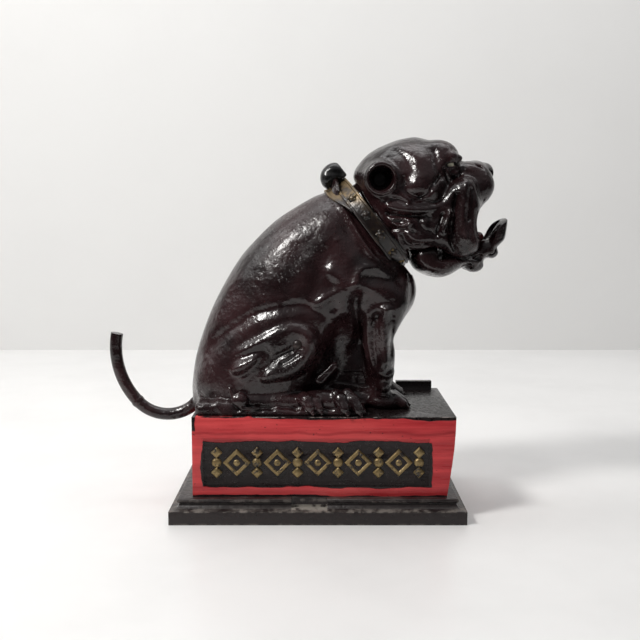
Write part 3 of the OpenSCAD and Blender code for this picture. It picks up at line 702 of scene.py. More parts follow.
def skull_relief():
    r = Relief(head_view)
    # Dome and brow
    r.groove([(39, 182), (43.4, 178.4), (45.8, 173), (44.6, 167)], 2.4, 0.7)
    r.ridge([(35, 183.6), (40, 184), (45, 181.6)], 3.0, 0.5)
    r.bump((51.5, 177.5), 5.0, 1.0)
    r.groove([(57.6, 181.5), (58.4, 177), (59, 173), (61.2, 169.4)], 1.7, 0.9)
    # Folds under the eye
    r.groove([(62.4, 173.4), (63.6, 169.6), (65.4, 165.8)], 0.8, 0.9)
    r.groove([(66.4, 172.2), (67.6, 168.6), (69.6, 166.6)], 0.8, 0.8)
    r.ridge([(64.6, 172.4), (65.8, 169), (67.6, 166.6)], 0.9, 0.6)
    # Cheek ball, with the crease that runs from below the ear round it
    r.groove([(42.6, 168.5), (42.4, 165.5), (43.6, 162), (46.5, 160.1), (50.2, 159.5)], 1.6, 1.1)
    r.groove([(50.2, 159.6), (53.9, 161.3), (55.8, 164), (59.3, 168.8)], 1.3, 0.9)
    r.groove([(57.4, 166.4), (59.6, 169.4)], 0.9, 0.9)
    r.bump((48.6, 164.6), 3.4, 1.0)
    r.bump((56.6, 161.4), 3.2, 1.2)
    r.bump((51.5, 169.5), 3.0, 0.5)
    r.groove([(47, 157.4), (53, 157.6), (57.5, 156.8), (61.5, 158.6)], 0.9, 0.8)
    r.bump((44.6, 157.4), 2.4, 0.7)
    # Long fold across the cheek, then up the muzzle beside the flews, with a groove below it
    fold = [(34.5, 154.8), (43, 153.2), (52.3, 153), (58.4, 154), (63.5, 157), (67.2, 162.6), (70.4, 167.3)]
    below = [(35, 151), (43, 150), (50, 150.2), (58.4, 150), (63.5, 153), (67, 157.9), (70.2, 163.5)]
    r.ridge(fold, 1.9, 1.5)
    r.groove(below, 1.2, 1.5)
    # Wrinkles of the jowl
    r.ring((40.6, 147.2), (5, 1.7), -3, 0.8, 1.0)
    r.bump((40.6, 147.2), 1.6, -0.8)
    r.groove([(35.4, 143.5), (42, 143.6), (47, 142)], 1.0, 1.0)
    r.groove([(50.3, 149.5), (50.6, 145.6), (52.6, 143), (56, 142.4)], 0.9, 1.1)
    r.ridge([(44.8, 147), (45.6, 141), (49, 138.4), (55, 138.4), (60, 139)], 1.5, 1.0)
    r.bump((52, 146.4), 1.8, 0.7)
    r.groove([(42, 141), (45, 136.6), (52, 135.6), (58.5, 136.4)], 1.1, 1.1)
    r.groove([(36, 158.6), (40, 158), (43, 156.8)], 1.2, 0.9)
    return r.height


def flews_relief():
    """Folds that hang down the flews."""
    r = Relief(head_view)
    r.ridge([(72.6, 166.6), (71.8, 158), (71.2, 150.5), (72, 144), (72.6, 139)], 2.0, 1.3)
    r.groove([(68.4, 160.5), (67, 153), (66, 145.6), (65.8, 138), (68, 133.4)], 1.2, 1.5)
    r.ridge([(65.4, 152), (63.4, 147), (61.8, 142.8)], 1.5, 1.3)
    r.groove([(61.6, 150.6), (59.8, 145.4), (58.6, 140.6)], 1.0, 0.9)
    r.groove([(75.6, 163), (75.4, 155), (74.6, 148.4)], 1.0, 0.9)
    r.groove([(66.4, 145.4), (67.2, 142.4), (67.6, 138)], 1.1, 0.8)
    r.bump((72.8, 138), 4.6, 0.9)
    r.bump((60, 146), 2.6, 0.8)
    r.groove([(55.2, 149.4), (55.4, 144), (57, 139.5)], 0.9, 0.8)
    return r.height


skull_height, flews_height = skull_relief(), flews_relief()


def head_outside(p, y):
    """The head's outside in the half at +Y, with y positive away from the middle."""
    q = np.stack([p[:, 0], y, p[:, 2]], 1)
    z = p[:, 2]
    half_width = 23.4 + 1.4 * ease(z, 176, 160) - 3.5 * ease(p[:, 0], 60, 74)
    skull = pillow(head_view, p, y, skull_depth, 22.0 - 4 * ease(p[:, 0], 58, 72), 0.0, half_width)
    # Brow bone, cheek and jowl
    skull = with_lumps(skull, q, [
        ((60.5, 9, 179.5), (10.5, 9.5, 8.4), 0, 3.5),
        ((50, 15.5, 166), (11, 9.8, 9), 0, 3),
        ((50, 17, 144), (14, 7.6, 11), 0, 3),
    ])
    # A furrow down the forehead and a hollow in front of the eye
    skull = smooth_max(skull, -ellipsoid(q, (60, 0, 193), (16, 1.6, 5.2), -8), 4)
    skull = smooth_max(skull, -ellipsoid(q, (73.4, 13.0, 177.6), (3.8, 4.2, 4.2)), 2.5)
    skull = skull - head_view.sample(skull_height, p) * ease(y, 5, 11)
    # Throat and flews
    skull = smooth_min(skull, ellipsoid(q, (38.6, 17, 131.5), (6, 5.6, 8.5), -12), 2)
    flews = pillow(head_view, p, y, flews_depth, 6.0, 15.6, 8.9)
    flews = flews - head_view.sample(flews_height, p) * ease(y, 14, 20)
    d = smooth_min(skull, flews, 1.4)
    # Muzzle: pads, bridge and nose, then the nostril, the cleft and the crease beside the nose
    muzzle = pillow(head_view, p, y, muzzle_depth, 8.0, 0.0, 14.0 + 2.5 * ease(z, 172, 160))
    muzzle = with_lumps(muzzle, q, [
        ((80, 7, 165.5), (9.5, 8.5, 8), 0, 3),
        ((75, 7.5, 172), (7, 7.5, 5.4), -10, 3),
        ((86, 0, 172), (4.4, 7.4, 5.2), 0, 1.2),
    ])
    muzzle = smooth_max(muzzle, -capsule(q, (88.5, 4.2, 171.8), (85.2, 8.2, 172.6), 1.5, 1.0), 0.8)
    muzzle = smooth_max(muzzle, -capsule(q, (91.5, 0, 173.5), (91, 0, 160), 1.3), 0.8)
    muzzle = smooth_max(muzzle, -capsule(q, (80, 11.5, 176), (86.4, 9.5, 168), 0.8), 1.2)
    d = smooth_min(d, muzzle, 3.0)
    # Ear cup, turned out to the side, and the ridge that runs round its foot
    ear = np.hypot((p[:, 0] - EAR_AT[0]) / 0.96, z - EAR_AT[2])
    cup = np.maximum(ear - 7.9, y - 26.0)
    rim = np.hypot(ear - 7.0, y - 25.8) - 1.1
    foot = np.maximum(ear - 8.6, y - 21.5)
    d = smooth_min(d, foot, 3.0)
    d = smooth_min(smooth_min(d, cup, 1.2), rim, 0.7)
    hollow = np.maximum(ear - 6.3 + 0.2 * np.maximum(26 - y, 0), EAR_FLOOR - y)
    d = smooth_max(d, -hollow, 0.7)
    # Swollen lids round the eye, which looks out of a narrow slit between them
    d = smooth_min(d, ellipsoid(q, eye_at - [0.8, 0.6, 0.2], (5.0, 4.5, 4.4)), 1.8)
    brow = capsule(q, eye_at + [-5.0, 1.0, 2.8], eye_at + [0.4, 2.4, 4.0], 2.2)
    brow = smooth_min(brow, capsule(q, eye_at + [0.4, 2.4, 4.0], eye_at + [4.4, -0.6, 3.4], 2.2, 1.4), 0.8)
    d = smooth_min(d, brow, 2.2)
    pouch = capsule(q, eye_at + [-4.4, 1.8, -3.4], eye_at + [2.4, 1.6, -4.2], 1.5, 1.2)
    return smooth_min(d, pouch, 1.6)


def head_field(p):
    """The head: hollow, with an open mouth, cut off behind the collar, and with lugs for its pins."""
    y = np.abs(p[:, 1])
    q = np.stack([p[:, 0], y, p[:, 2]], 1)
    d = head_outside(p, y)
    wall = 3.0
    room = pillow(head_view, p, y, skull_depth, 20.0, 0.0, 22.2 - 4 * ease(p[:, 0], 54, 66)) + wall
    room = np.maximum(room, p[:, 0] - 68)
    behind_ear = np.maximum(np.hypot(p[:, 0] - EAR_AT[0], p[:, 2] - EAR_AT[2]) - 8.8, EAR_FLOOR - 2.5 - y)
    room = np.maximum(room, -behind_ear)
    s, t, _ = neck_place(p)
    d = smooth_max(d, -np.minimum(room, core_room(p, 1.0)), 0.8)
    mouth = smooth_max(-head_view.sample(mouth_depth, p), y - 15.5, 5.0)
    d = smooth_max(d, -mouth, 0.8)
    # The rear leans away from the collar towards the nape, so that the head can tip back
    lean = np.radians(8)
    d = smooth_max(d, COLLAR_HALF + 1 - s, 0.8)
    d = smooth_max(d, (t - 8) * np.sin(lean) - (s - COLLAR_HALF - 1) * np.cos(lean), 0.8)
    # Socket of the eye and the slit between its lids
    d = np.maximum(d, -ellipsoid(q, eye_at, [eye_radius + 0.25] * 3))
    slit = capsule(q, eye_at + [-2.3, 4.2, -0.5], eye_at + [2.0, 4.0, 0.4], 1.15, 0.75)
    d = smooth_max(d, -slit, 0.5)
    # Lug on the neck pin, arm for the link and bosses for the jaw pin
    lug_end = NECK_CENTRE + 14 * NECK_AXIS + 19 * NAPE
    lug = np.maximum(flat_bar(p, neck_pivot, lug_end, 2.5), np.abs(p[:, 1]) - 4.7)
    lug = np.maximum(np.minimum(lug, cross_cylinder(p, neck_pivot, 2.9, -5, 5)), p[:, 0] - 29)
    arm_end, arm_y = np.array([34.0, 0, 183.0]), 9.6
    arm = np.maximum(flat_bar(p, link_pivot, arm_end, 3.0), np.abs(p[:, 1] - arm_y) - 1.5)
    arm = np.minimum(arm, cross_cylinder(p, link_pivot, 4.0, arm_y - 1.5, arm_y + 1.5))
    boss = cross_cylinder(q, jaw_pivot, 4.0, 14, 22)
    d = np.minimum(np.minimum(d, lug), np.minimum(arm, boss))
    d = np.maximum(d, -cross_cylinder(p, neck_pivot, PIN_BORE, -20, 20))
    d = np.maximum(d, -cross_cylinder(p, link_pivot, 1.7, 7, 15))
    return np.maximum(d, -cross_cylinder(p, jaw_pivot, PIN_BORE, -17.6, 17.6))


def flat_bar(p, start, end, half):
    """Distance in the side view to a straight bar between two points."""
    a, b = start[[0, 2]], end[[0, 2]]
    q = p[:, [0, 2]] - a
    along = np.clip((q @ (b - a)) / ((b - a) @ (b - a)), 0, 1)
    return np.linalg.norm(q - along[:, None] * (b - a), axis=1) - half


def build_head():
    low, high = (14, -28.5, 121), (92.5, 28.5, 192)
    return clay_piece("head_cast", head_field, low, high, HEAD_STEP, "head", ["head"])


# ---- Lower jaw -----------------------------------------------------------------------------------

JAW = [
    (46.8, 131), (47.8, 126), (50.8, 122), (56.3, 119.3), (62.8, 118.2), (68, 119.6), (72.5, 122.3),
    (75.8, 123.4), (78, 121.9), (80.6, 121.4), (83.4, 122.8), (85.3, 126), (87, 128), (89.8, 128.4),
    (91.1, 130.4), (91.7, 133.3), (94, 135.4), (96.3, 138), (97.3, 143), (97.6, 148.3), (95, 148.4),
    (91.7, 146.4), (89.2, 143.4), (86.4, 139), (82, 135.8), (74, 134), (64, 135.5), (57, 137),
    (50, 135.5),
]
jaw_view = SideView((40, 108), (104, 158), 0.4)
jaw_depth = jaw_view.softened(jaw_view.depth(JAW), 2)


def tongue_distance(q):
    """Tongue with a groove along it."""
    d = capsule(q, (62, 0, 130.5), (78, 0, 135.5), 4.6, 4.4)
    d = smooth_min(d, capsule(q, (78, 0, 135.5), (82.6, 0, 138.6), 4.4, 3.6), 2)
    return smooth_max(d, -capsule(q, (64, 0, 136.4), (86, 0, 143.4), 0.9), 0.9)


def jaw_field(p):
    """The lower jaw: a trough with lobed lips, the tongue in it, and two arms to the jaw's pin."""
    y = np.abs(p[:, 1])
    q = np.stack([p[:, 0], y, p[:, 2]], 1)
    x, z = p[:, 0], p[:, 2]
    low_width = 12 + 7.5 * ease(x, 92, 70)
    narrow = ease(z, 126.5, 130.5) * ease(x, 59, 63)
    half_width = low_width + (14.2 - low_width) * narrow - 5.0 * ease(x, 88, 97)
    d = pillow(jaw_view, p, y, jaw_depth, 5.5 - 3.3 * ease(x, 86, 92), 0.0, half_width)
    # Trough inside the lip, lobes on the chin and along the lower lip
    d = smooth_max(d, -capsule(q, (56, 0, 136), (90, 0, 143), 7.5, 6.5), 1.5)
    d = with_lumps(d, q, [
        ((85.5, 9.5, 133.8), (4.6, 3.2, 4.2), 0, 1.5),
        ((80, 7, 124.8), (5, 5.6, 3.4), 0, 1.6),
        ((89.6, 6, 131.5), (3, 4.2, 3), 0, 1.2),
    ])
    d = smooth_max(d, -capsule(q, (74, 14, 125.4), (82, 13, 129.2), 1.1), 1.6)
    d = smooth_max(d, -capsule(q, (86.6, 12, 128.4), (91, 9, 136), 0.9), 1.2)
    d = smooth_min(d, tongue_distance(q), 0.5)
    bar = np.maximum(flat_bar(p, jaw_pivot, np.array([58.0, 0, 129.0]), 3.5), np.abs(y - 12) - 1.6)
    arm = np.minimum(cross_cylinder(q, jaw_pivot, 4.0, 10.4, 13.6), bar)
    d = np.maximum(smooth_min(d, arm, 0.6), -core_room(p, 1.0))
    return np.maximum(d, -cross_cylinder(p, jaw_pivot, PIN_BORE, -20, 20))


def build_jaw():
    low, high = (43, -21, 116), (99.5, 21, 150.5)
    jaw = clay_piece("lower_jaw_cast", jaw_field, low, high, HEAD_STEP, "jaw", ["lower_jaw"])
    vertices = np.array([v.co for v in jaw.data.vertices]) / MM
    q = np.abs(vertices) * [0, 1, 0] + vertices * [1, 0, 1]
    tongue = ease(tongue_distance(q.astype(np.float32)), 0.5, 0.1) * ease(vertices[:, 2], 133, 135)
    add_attribute(jaw, "tongue", tongue)
    return jaw


# ---- Knot on the collar --------------------------------------------------------------------------


def knot_field(p):
    """Knot of the collar: four lumps with two creases, and a foot on the band."""
    y = np.abs(p[:, 1])
    q = np.stack([p[:, 0], y, p[:, 2]], 1)
    d = ellipsoid(q, (7.0, 3, 170.6), (5.4, 5.6, 5.2), -20)
    d = with_lumps(d, q, [
        ((9.6, 3.2, 172.2), (5.6, 5.0, 4.7), -28, 2.0),
        ((4.5, 3.8, 168.6), (3.0, 4.4, 4.2), 0, 2.0),
        ((14.0, 3.2, 169.9), (3.6, 5.0, 3.6), -38, 2.4),
    ])
    d = smooth_max(d, -capsule(q, (8, 0, 180), (6, 0, 172.4), 0.9), 1.4)
    d = smooth_max(d, -capsule(q, (3, 9.4, 172.4), (12, 9.2, 171.6), 0.9), 1.6)
    s, _, radius = neck_place(p)
    foot = np.maximum(np.maximum(s - 5.0, -7.0 - s), np.maximum(y - 6.5, radius - 31))
    d = smooth_min(d, foot, 1.0)
    d = np.maximum(d, COLLAR_RADIUS + 0.1 + 1.5 * (np.abs(s) > 2.4) - radius)
    return smooth_max(d, s - 5.4, 0.8)


def build_knot():
    low, high = (-1, -11, 162), (18, 11, 181)
    return clay_piece("collar_knot_cast", knot_field, low, high, 0.4, "bank", ["collar_knot"])


def nape_field(p):
    """The collar's rear edge, which widens over the nape and ends in a bead."""
    s, t, radius = neck_place(p)
    rear = -COLLAR_HALF - 4.2 * ease(t, 11, 25)
    band = np.abs(radius - COLLAR_RADIUS - 0.3) - 0.8
    band = np.maximum(band, np.maximum(s + COLLAR_HALF - 0.3, rear - s))
    band = smooth_min(band, np.hypot(radius - COLLAR_RADIUS - 0.8, s - rear) - 0.75, 0.5)
    return np.maximum(band, 11.5 - t)


def build_nape():
    return clay_piece("collar_nape_band", nape_field, (-3, -27, 148), (20, 27, 172), 0.5, "bank", [])


# ---- Collar rosettes -----------------------------------------------------------------------------


def build_rosettes():
    """A flower of five petals round each stud of the collar that the knot leaves free."""
    vertices, faces = [], []
    studs, rings, petals, spokes = 14, 5, 5, 40
    across = np.cross(NECK_AXIS, NAPE)
    for k in range(2, studs - 1):
        turn = 2 * np.pi * k / studs
        out = NAPE * np.cos(turn) + across * np.sin(turn)
        side = np.cross(NECK_AXIS, out)
        first = len(vertices)
        for i in range(rings):
            share = i / (rings - 1)
            for j in range(spokes):
                a = 2 * np.pi * j / spokes
                petal = 0.5 + 0.5 * np.cos(petals * a)
                radius = (1.2 + 1.9 * share) * (0.84 + 0.16 * petal)
                lift = 0.95 * np.sin(np.pi * (0.25 + 0.75 * share)) * (0.55 + 0.45 * petal) - 0.45 * share
                along, around = radius * np.cos(a), radius * np.sin(a)
                bend = around**2 / (2 * COLLAR_RADIUS)
                height = COLLAR_RADIUS - 0.05 + lift - bend
                vertices.append(NECK_CENTRE + out * height + NECK_AXIS * along + side * around)
        for i in range(rings - 1):
            for j in range(spokes):
                a, b = first + i * spokes + j, first + i * spokes + (j + 1) % spokes
                faces.append([a, b, b + spokes, a + spokes])
    rosettes = piece("collar_rosettes", vertices, faces, "bank")
    thick = rosettes.modifiers.new("thickness", "SOLIDIFY")
    thick.thickness = 0.5 * MM
    thick.offset = -1
    return rosettes


# ---- Pedestal and plate --------------------------------------------------------------------------


def softened_copy(node, name, width):
    """Copy of a CAD node with its sharp edges rounded, as on a casting, that stands for the node."""
    source = frame["nodes"][node]
    obj = bpy.data.objects.new(name, source.data.copy())
    bpy.context.scene.collection.objects.link(obj)
    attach(obj, source["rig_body"])
    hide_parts(node)
    weld = obj.modifiers.new("weld", "WELD")
    weld.merge_threshold = 0.004 * MM
    bevel = obj.modifiers.new("bevel", "BEVEL")
    bevel.width = width * MM
    bevel.segments = 3
    bevel.limit_method = "ANGLE"
    bevel.angle_limit = np.radians(35)
    bevel.harden_normals = False
    bevel.use_clamp_overlap = True
    for polygon in obj.data.polygons:
        polygon.use_smooth = True
    return obj


def build_pedestal():
    return softened_copy("pedestal", "pedestal_cast", 0.7)


def build_plate():
    return softened_copy("base_plate", "base_plate_cast", 0.5)


def build_ornament():
    """Gilded row on each panel: lozenges with a bead, and between them a bead and two leaves."""
    vertices, faces = [], []
    count, pitch, mid_z = 5, 20.0, 29.0
    floor_y = face_y - 1.0

    def boss(x_at, z_at, profile, corners, side):
        """Raised shape with a number of corners, from its radius and height at each ring."""
        first = len(vertices)
        for radius, height in profile:
            for j in range(corners):
                a = 2 * np.pi * j / corners
                x, z = x_at + radius * np.cos(a), z_at + radius * np.sin(a)
                vertices.append((x, side * (floor_y + height), z))
        for i in range(len(profile) - 1):
            for j in range(corners):
                a, b = first + i * corners + j, first + i * corners + (j + 1) % corners
                loop = [a, b, b + corners, a + corners]
                faces.append(loop if side < 0 else loop[::-1])
        last = [first + (len(profile) - 1) * corners + j for j in range(corners)]
        faces.append(last if side < 0 else last[::-1])

    lozenge = [(7.0, -0.4), (7.0, 0.6), (6.5, 1.3), (4.7, 1.45), (4.0, 0.7), (3.4, 0.6), (3.2, 0.6)]
    leaf = [(3.0, -0.4), (3.0, 0.5), (2.5, 1.15), (1.2, 1.45), (0.4, 1.5)]
    bead = [(2.5, -0.4), (2.45, 0.5), (2.1, 1.1), (1.5, 1.45), (0.8, 1.6), (0.3, 1.63)]
    small = [(1.9, 0.3), (1.8, 0.9), (1.3, 1.35), (0.6, 1.5), (0.25, 1.52)]
    for side in (-1, 1):
        for k in range(count):
            x = (k - (count - 1) / 2) * pitch
            boss(x, mid_z, lozenge, 4, side)
            boss(x, mid_z, small, 16, side)
        for k in range(count + 1):
            x = (k - count / 2) * pitch
            boss(x, mid_z, bead, 20, side)
            for offset in (-5.0, 5.0):
                boss(x, mid_z + offset, leaf, 4, side)
    obj = piece("pedestal_ornament", vertices, faces, "bank", smooth=False)
    bevel = obj.modifiers.new("bevel", "BEVEL")
    bevel.width = 0.25 * MM
    bevel.segments = 2
    bevel.angle_limit = np.radians(25)
    return obj


# ---- Materials -----------------------------------------------------------------------------------


class Finish:
    """A procedural material, put together from a few kinds of node. Positions are metres in the CAD frame."""

    def __init__(self, name):
        self.material = bpy.data.materials.new(name)
        self.material.use_nodes = True
        self.tree = self.material.node_tree
        self.shader = self.tree.nodes["Principled BSDF"]
        self.position = self.tree.nodes.new("ShaderNodeTexCoord").outputs["Object"]

    def put(self, socket, value):
        if hasattr(value, "is_output") or isinstance(value, bpy.types.NodeSocket):
            self.tree.links.new(value, socket)
        else:
            socket.default_value = value

    def set(self, **values):
        for name, value in values.items():
            self.put(self.shader.inputs[name.replace("_", " ")], value)

    def noise(self, scale, detail=3.0, rough=0.55, stretch=(1, 1, 1), offset=0.0):
        mapping = self.tree.nodes.new("ShaderNodeMapping")
        mapping.inputs["Scale"].default_value = stretch
        mapping.inputs["Location"].default_value = (offset, offset, offset)
        self.tree.links.new(self.position, mapping.inputs["Vector"])
        node = self.tree.nodes.new("ShaderNodeTexNoise")
        node.inputs["Scale"].default_value = scale
        node.inputs["Detail"].default_value = detail
        node.inputs["Roughness"].default_value = rough
        self.tree.links.new(mapping.outputs["Vector"], node.inputs["Vector"])
        return node.outputs["Fac"]

    def ramp(self, value, low, high, to_low=0.0, to_high=1.0, smooth=True):
        node = self.tree.nodes.new("ShaderNodeMapRange")
        node.interpolation_type = "SMOOTHSTEP" if smooth else "LINEAR"
        for name, number in zip(("From Min", "From Max", "To Min", "To Max"), (low, high, to_low, to_high)):
            node.inputs[name].default_value = number
        self.put(node.inputs["Value"], value)
        return node.outputs["Result"]

    def math(self, kind, a, b=0.0):
        node = self.tree.nodes.new("ShaderNodeMath")
        node.operation = kind
        self.put(node.inputs[0], a)
        self.put(node.inputs[1], b)
        return node.outputs[0]

    def times(self, *values):
        product = values[0]
        for value in values[1:]:
            product = self.math("MULTIPLY", product, value)
        return product

    def size(self, value):
        return self.math("ABSOLUTE", value)

    def wavy(self, place, noise, height):
        """A place moved to and fro by a noise, by a height in millimetres from trough to crest."""
        return self.math("ADD", place, self.times(self.math("SUBTRACT", noise, 0.5), height * MM))

    def along(self, place, start, end):
        """0 at the start and 1 at the end of a stretch given in millimetres."""
        return self.ramp(place, start * MM, end * MM)

    def between(self, place, low, high, soft):
        """1 between two places in millimetres and 0 outside them."""
        above = self.along(place, low - soft, low + soft)
        return self.times(above, self.along(place, high + soft, high - soft))

    def near(self, place, middle, far, close):
        """1 closer than close to a middle and 0 further than far, in millimetres."""
        return self.along(self.size(self.math("SUBTRACT", place, middle * MM)), far, close)

    def mix(self, share, a, b):
        node = self.tree.nodes.new("ShaderNodeMix")
        node.data_type = "RGBA"
        self.put(node.inputs["Factor"], share)
        self.put(node.inputs["A"], a)
        self.put(node.inputs["B"], b)
        return node.outputs["Result"]

    def blend(self, share, a, b):
        """Plain number between a and b."""
        node = self.tree.nodes.new("ShaderNodeMix")
        self.put(node.inputs["Factor"], share)
        self.put(node.inputs["A"], a)
        self.put(node.inputs["B"], b)
        return node.outputs["Result"]

    def axis(self, letter):
        node = self.tree.nodes.new("ShaderNodeSeparateXYZ")
        self.tree.links.new(self.position, node.inputs[0])
        return node.outputs[letter]

    def attribute(self, name):
        node = self.tree.nodes.new("ShaderNodeAttribute")
        node.attribute_name = name
        return node.outputs["Fac"]

    def facing_up(self):
        node = self.tree.nodes.new("ShaderNodeNewGeometry")
        split = self.tree.nodes.new("ShaderNodeSeparateXYZ")
        self.tree.links.new(node.outputs["Normal"], split.inputs[0])
        return split.outputs["Z"]

    def bump(self, height, distance, strength=1.0, over=None):
        node = self.tree.nodes.new("ShaderNodeBump")
        node.inputs["Strength"].default_value = strength
        node.inputs["Distance"].default_value = distance
        self.put(node.inputs["Height"], height)
        if over is not None:
            self.tree.links.new(over, node.inputs["Normal"])
        return node.outputs["Normal"]


def colour(r, g, b):
    return (r, g, b, 1.0)


def japan(name, tongue=False):
    """Glossy brown-black varnish over a slightly lumpy casting, with pits and duller patches."""
    f = Finish(name)
    broad = f.noise(38, 2)
    fine = f.noise(420, 3, 0.6)
    patch = f.ramp(f.noise(30, 3, 0.6, offset=0.7), 0.5, 0.66)
    dark, light = colour(0.008, 0.0033, 0.0037), colour(0.029, 0.0118, 0.013)
    base = f.mix(f.ramp(broad, 0.35, 0.68), dark, light)
    base = f.mix(f.ramp(fine, 0.62, 0.75, 0, 0.35), base, colour(0.026, 0.015, 0.015))
    ridge = f.attribute("ridge")
    worn = f.times(f.ramp(ridge, 0.05, 0.16), f.ramp(f.noise(260, 3), 0.45, 0.62))
    base = f.mix(f.times(worn, 0.3), base, colour(0.055, 0.037, 0.032))
    # Painted shade: the grooves of the relief are darkened
    groove = f.ramp(ridge, -0.04, -0.14)
    base = f.mix(f.times(groove, 0.5), base, colour(0.006, 0.004, 0.004))
    rough = f.blend(patch, f.ramp(fine, 0.3, 0.7, 0.17, 0.28), f.ramp(fine, 0.3, 0.7, 0.24, 0.38))
    if tongue:
        red = f.times(f.attribute("tongue"), f.ramp(f.noise(300, 3), 0.36, 0.5))
        base = f.mix(f.times(red, 0.8), base, colour(0.10, 0.014, 0.016))
    lumps = f.bump(f.noise(95, 2.5, 0.5), 0.0017, 0.6)
    peel = f.bump(f.noise(430, 2.5, 0.5), 0.0006, 0.6, lumps)
    pits = f.bump(f.times(f.ramp(f.noise(900, 2, 0.6), 0.56, 0.75), patch), 0.0004, 0.7, peel)
    f.set(Base_Color=base, Roughness=rough, Normal=pits, Coat_Weight=0.12, Coat_Roughness=0.14, IOR=1.5)
    return f.material


def red_pedestal():
    """Red side faces brushed by hand over black. The top, the panels and the drips stay black."""
    f = Finish("pedestal_red_and_black")
    x, y, z = f.axis("X"), f.axis("Y"), f.axis("Z")
    from_middle = f.size(y)
    z_wavy = f.wavy(z, f.noise(34, 3, 0.6), 5.2)
    x_wavy = f.wavy(x, f.noise(60, 3, 0.6, offset=2), 5.0)
    # Where it is black: the top, both panels, the foot, the inside and a drip at the rear corner
    black = f.along(f.math("ADD", z_wavy, f.times(x, 0.013)), ground - 0.9, ground - 0.6)
    panel = f.times(f.between(x_wavy, -57.2, 56, 0.2), f.between(z_wavy, 16.8, 39.7, 0.2))
    panel = f.times(panel, f.along(from_middle, face_y - 2, face_y - 1.8))
    foot = f.along(z_wavy, 13, 12.6)
    inside = f.times(f.along(from_middle, face_y - 2.4, face_y - 2.8), f.between(x, -59.2, 62, 0.2))
    drip = f.times(f.along(x_wavy, -60, -60.6), f.along(z_wavy, 44.6, 45.6))
    for mask in (panel, foot, inside, drip):
        black = f.math("MAXIMUM", black, mask)
    # Red in long brush strokes, with painted shade darkening the corner under the ledge, and with black
    # specks
    streak = f.noise(60, 4, 0.6, stretch=(0.35, 1, 6))
    broad = f.noise(24, 2, offset=1.3)
    red = f.mix(f.ramp(streak, 0.35, 0.7), colour(0.40, 0.022, 0.028), colour(0.62, 0.055, 0.060))
    red = f.mix(f.ramp(broad, 0.45, 0.72, 0, 0.5), red, colour(0.66, 0.085, 0.082))
    # Painted shade: darker red in the corner under the ledge
    red = f.mix(f.times(f.near(z_wavy, 44, 1.1, 0.2), 0.55), red, colour(0.24, 0.008, 0.012))
    specks = f.ramp(f.noise(520, 2, 0.6), 0.68, 0.74)
    red = f.mix(f.times(specks, 0.8), red, colour(0.05, 0.012, 0.012))
    # Black that has worn to grey metal along the edge of the top; the grey line is partly a painted highlight
    # on that edge
    paint = f.mix(f.noise(300, 3), colour(0.006, 0.0035, 0.0035), colour(0.015, 0.009, 0.009))
    worn = f.times(f.along(z, ground - 0.4, ground), f.ramp(f.noise(140, 4, 0.7), 0.5, 0.6))
    worn = f.times(worn, f.along(from_middle, face_y - 0.8, face_y - 0.3))
    paint = f.mix(worn, paint, colour(0.30, 0.26, 0.24))
    rough_red = f.ramp(streak, 0.3, 0.7, 0.26, 0.48)
    rough = f.blend(black, rough_red, f.ramp(f.noise(500, 3), 0.3, 0.7, 0.2, 0.46))
    film = f.bump(black, 0.00025, 0.6, f.bump(streak, 0.0005, 0.45))
    grain = f.bump(f.noise(200, 3, 0.55), 0.0005, 0.35, film)
    f.set(Base_Color=f.mix(black, red, paint), Roughness=rough, Normal=grain)
    f.set(Specular_IOR_Level=0.3, Coat_Weight=0.08, Coat_Roughness=0.15)
    return f.material


def plate_black():
    """Old black paint, worn to dull grey metal on the moulding's edges, where the grey is partly a painted
    highlight, and lighter grey in patches where it faces up.
    """
    f = Finish("plate_black_wear_and_painted_highlight")
    x, y, z = f.axis("X"), f.axis("Y"), f.axis("Z")
    grain = f.noise(480, 4, 0.65)
    base = f.mix(grain, colour(0.0075, 0.0048, 0.0048), colour(0.023, 0.015, 0.015))
    breaks = f.ramp(f.noise(150, 4, 0.7), 0.44, 0.6)
    # Grey along the step, the bead and the foot: partly wear, partly a painted highlight on those edges
    step, bead, foot = f.near(z, plate_edge, 0.8, 0.1), f.near(z, 10.7, 1.4, 0.2), f.along(z, 1.2, 0.2)
    edges = f.math("MAXIMUM", f.math("MAXIMUM", step, f.times(bead, 0.55)), f.times(foot, 0.6))
    ends = f.along(f.size(x), plate_front - 1.2, plate_front - 0.2)
    ends = f.times(ends, f.ramp(f.noise(210, 4, 0.7), 0.5, 0.62))
    worn = f.math("MAXIMUM", f.times(edges, breaks), ends)
    # Lighter grey in patches where the surface faces up
    grey_patches = f.ramp(f.noise(90, 4, 0.7, offset=3), 0.42, 0.7, 0, 0.4)
    up_facing_grey = f.times(f.ramp(f.facing_up(), 0.35, 0.9), grey_patches)
    base = f.mix(up_facing_grey, base, colour(0.12, 0.105, 0.095))
    base = f.mix(f.times(worn, 0.75), base, colour(0.21, 0.185, 0.165))
    # Stretch of the front moulding where the paint has rubbed off
    rubbed = f.times(f.between(x, -13.1, 4.6, 0.3), f.near(z, 7.6, 1.1, 0.6), f.along(y, -37.5, -38.5))
    rubbed = f.times(rubbed, f.ramp(f.noise(260, 3, offset=5), 0.3, 0.5))
    base = f.mix(rubbed, base, colour(0.23, 0.21, 0.185))
    rough = f.blend(f.math("MAXIMUM", worn, up_facing_grey), f.ramp(grain, 0.3, 0.7, 0.26, 0.5), 0.6)
    lumps = f.bump(f.noise(120, 3, 0.55), 0.0009, 0.45)
    f.set(Base_Color=base, Roughness=rough, Normal=f.bump(grain, 0.0003, 0.5, lumps))
    f.set(Specular_IOR_Level=0.4, Coat_Weight=0.1)
    return f.material


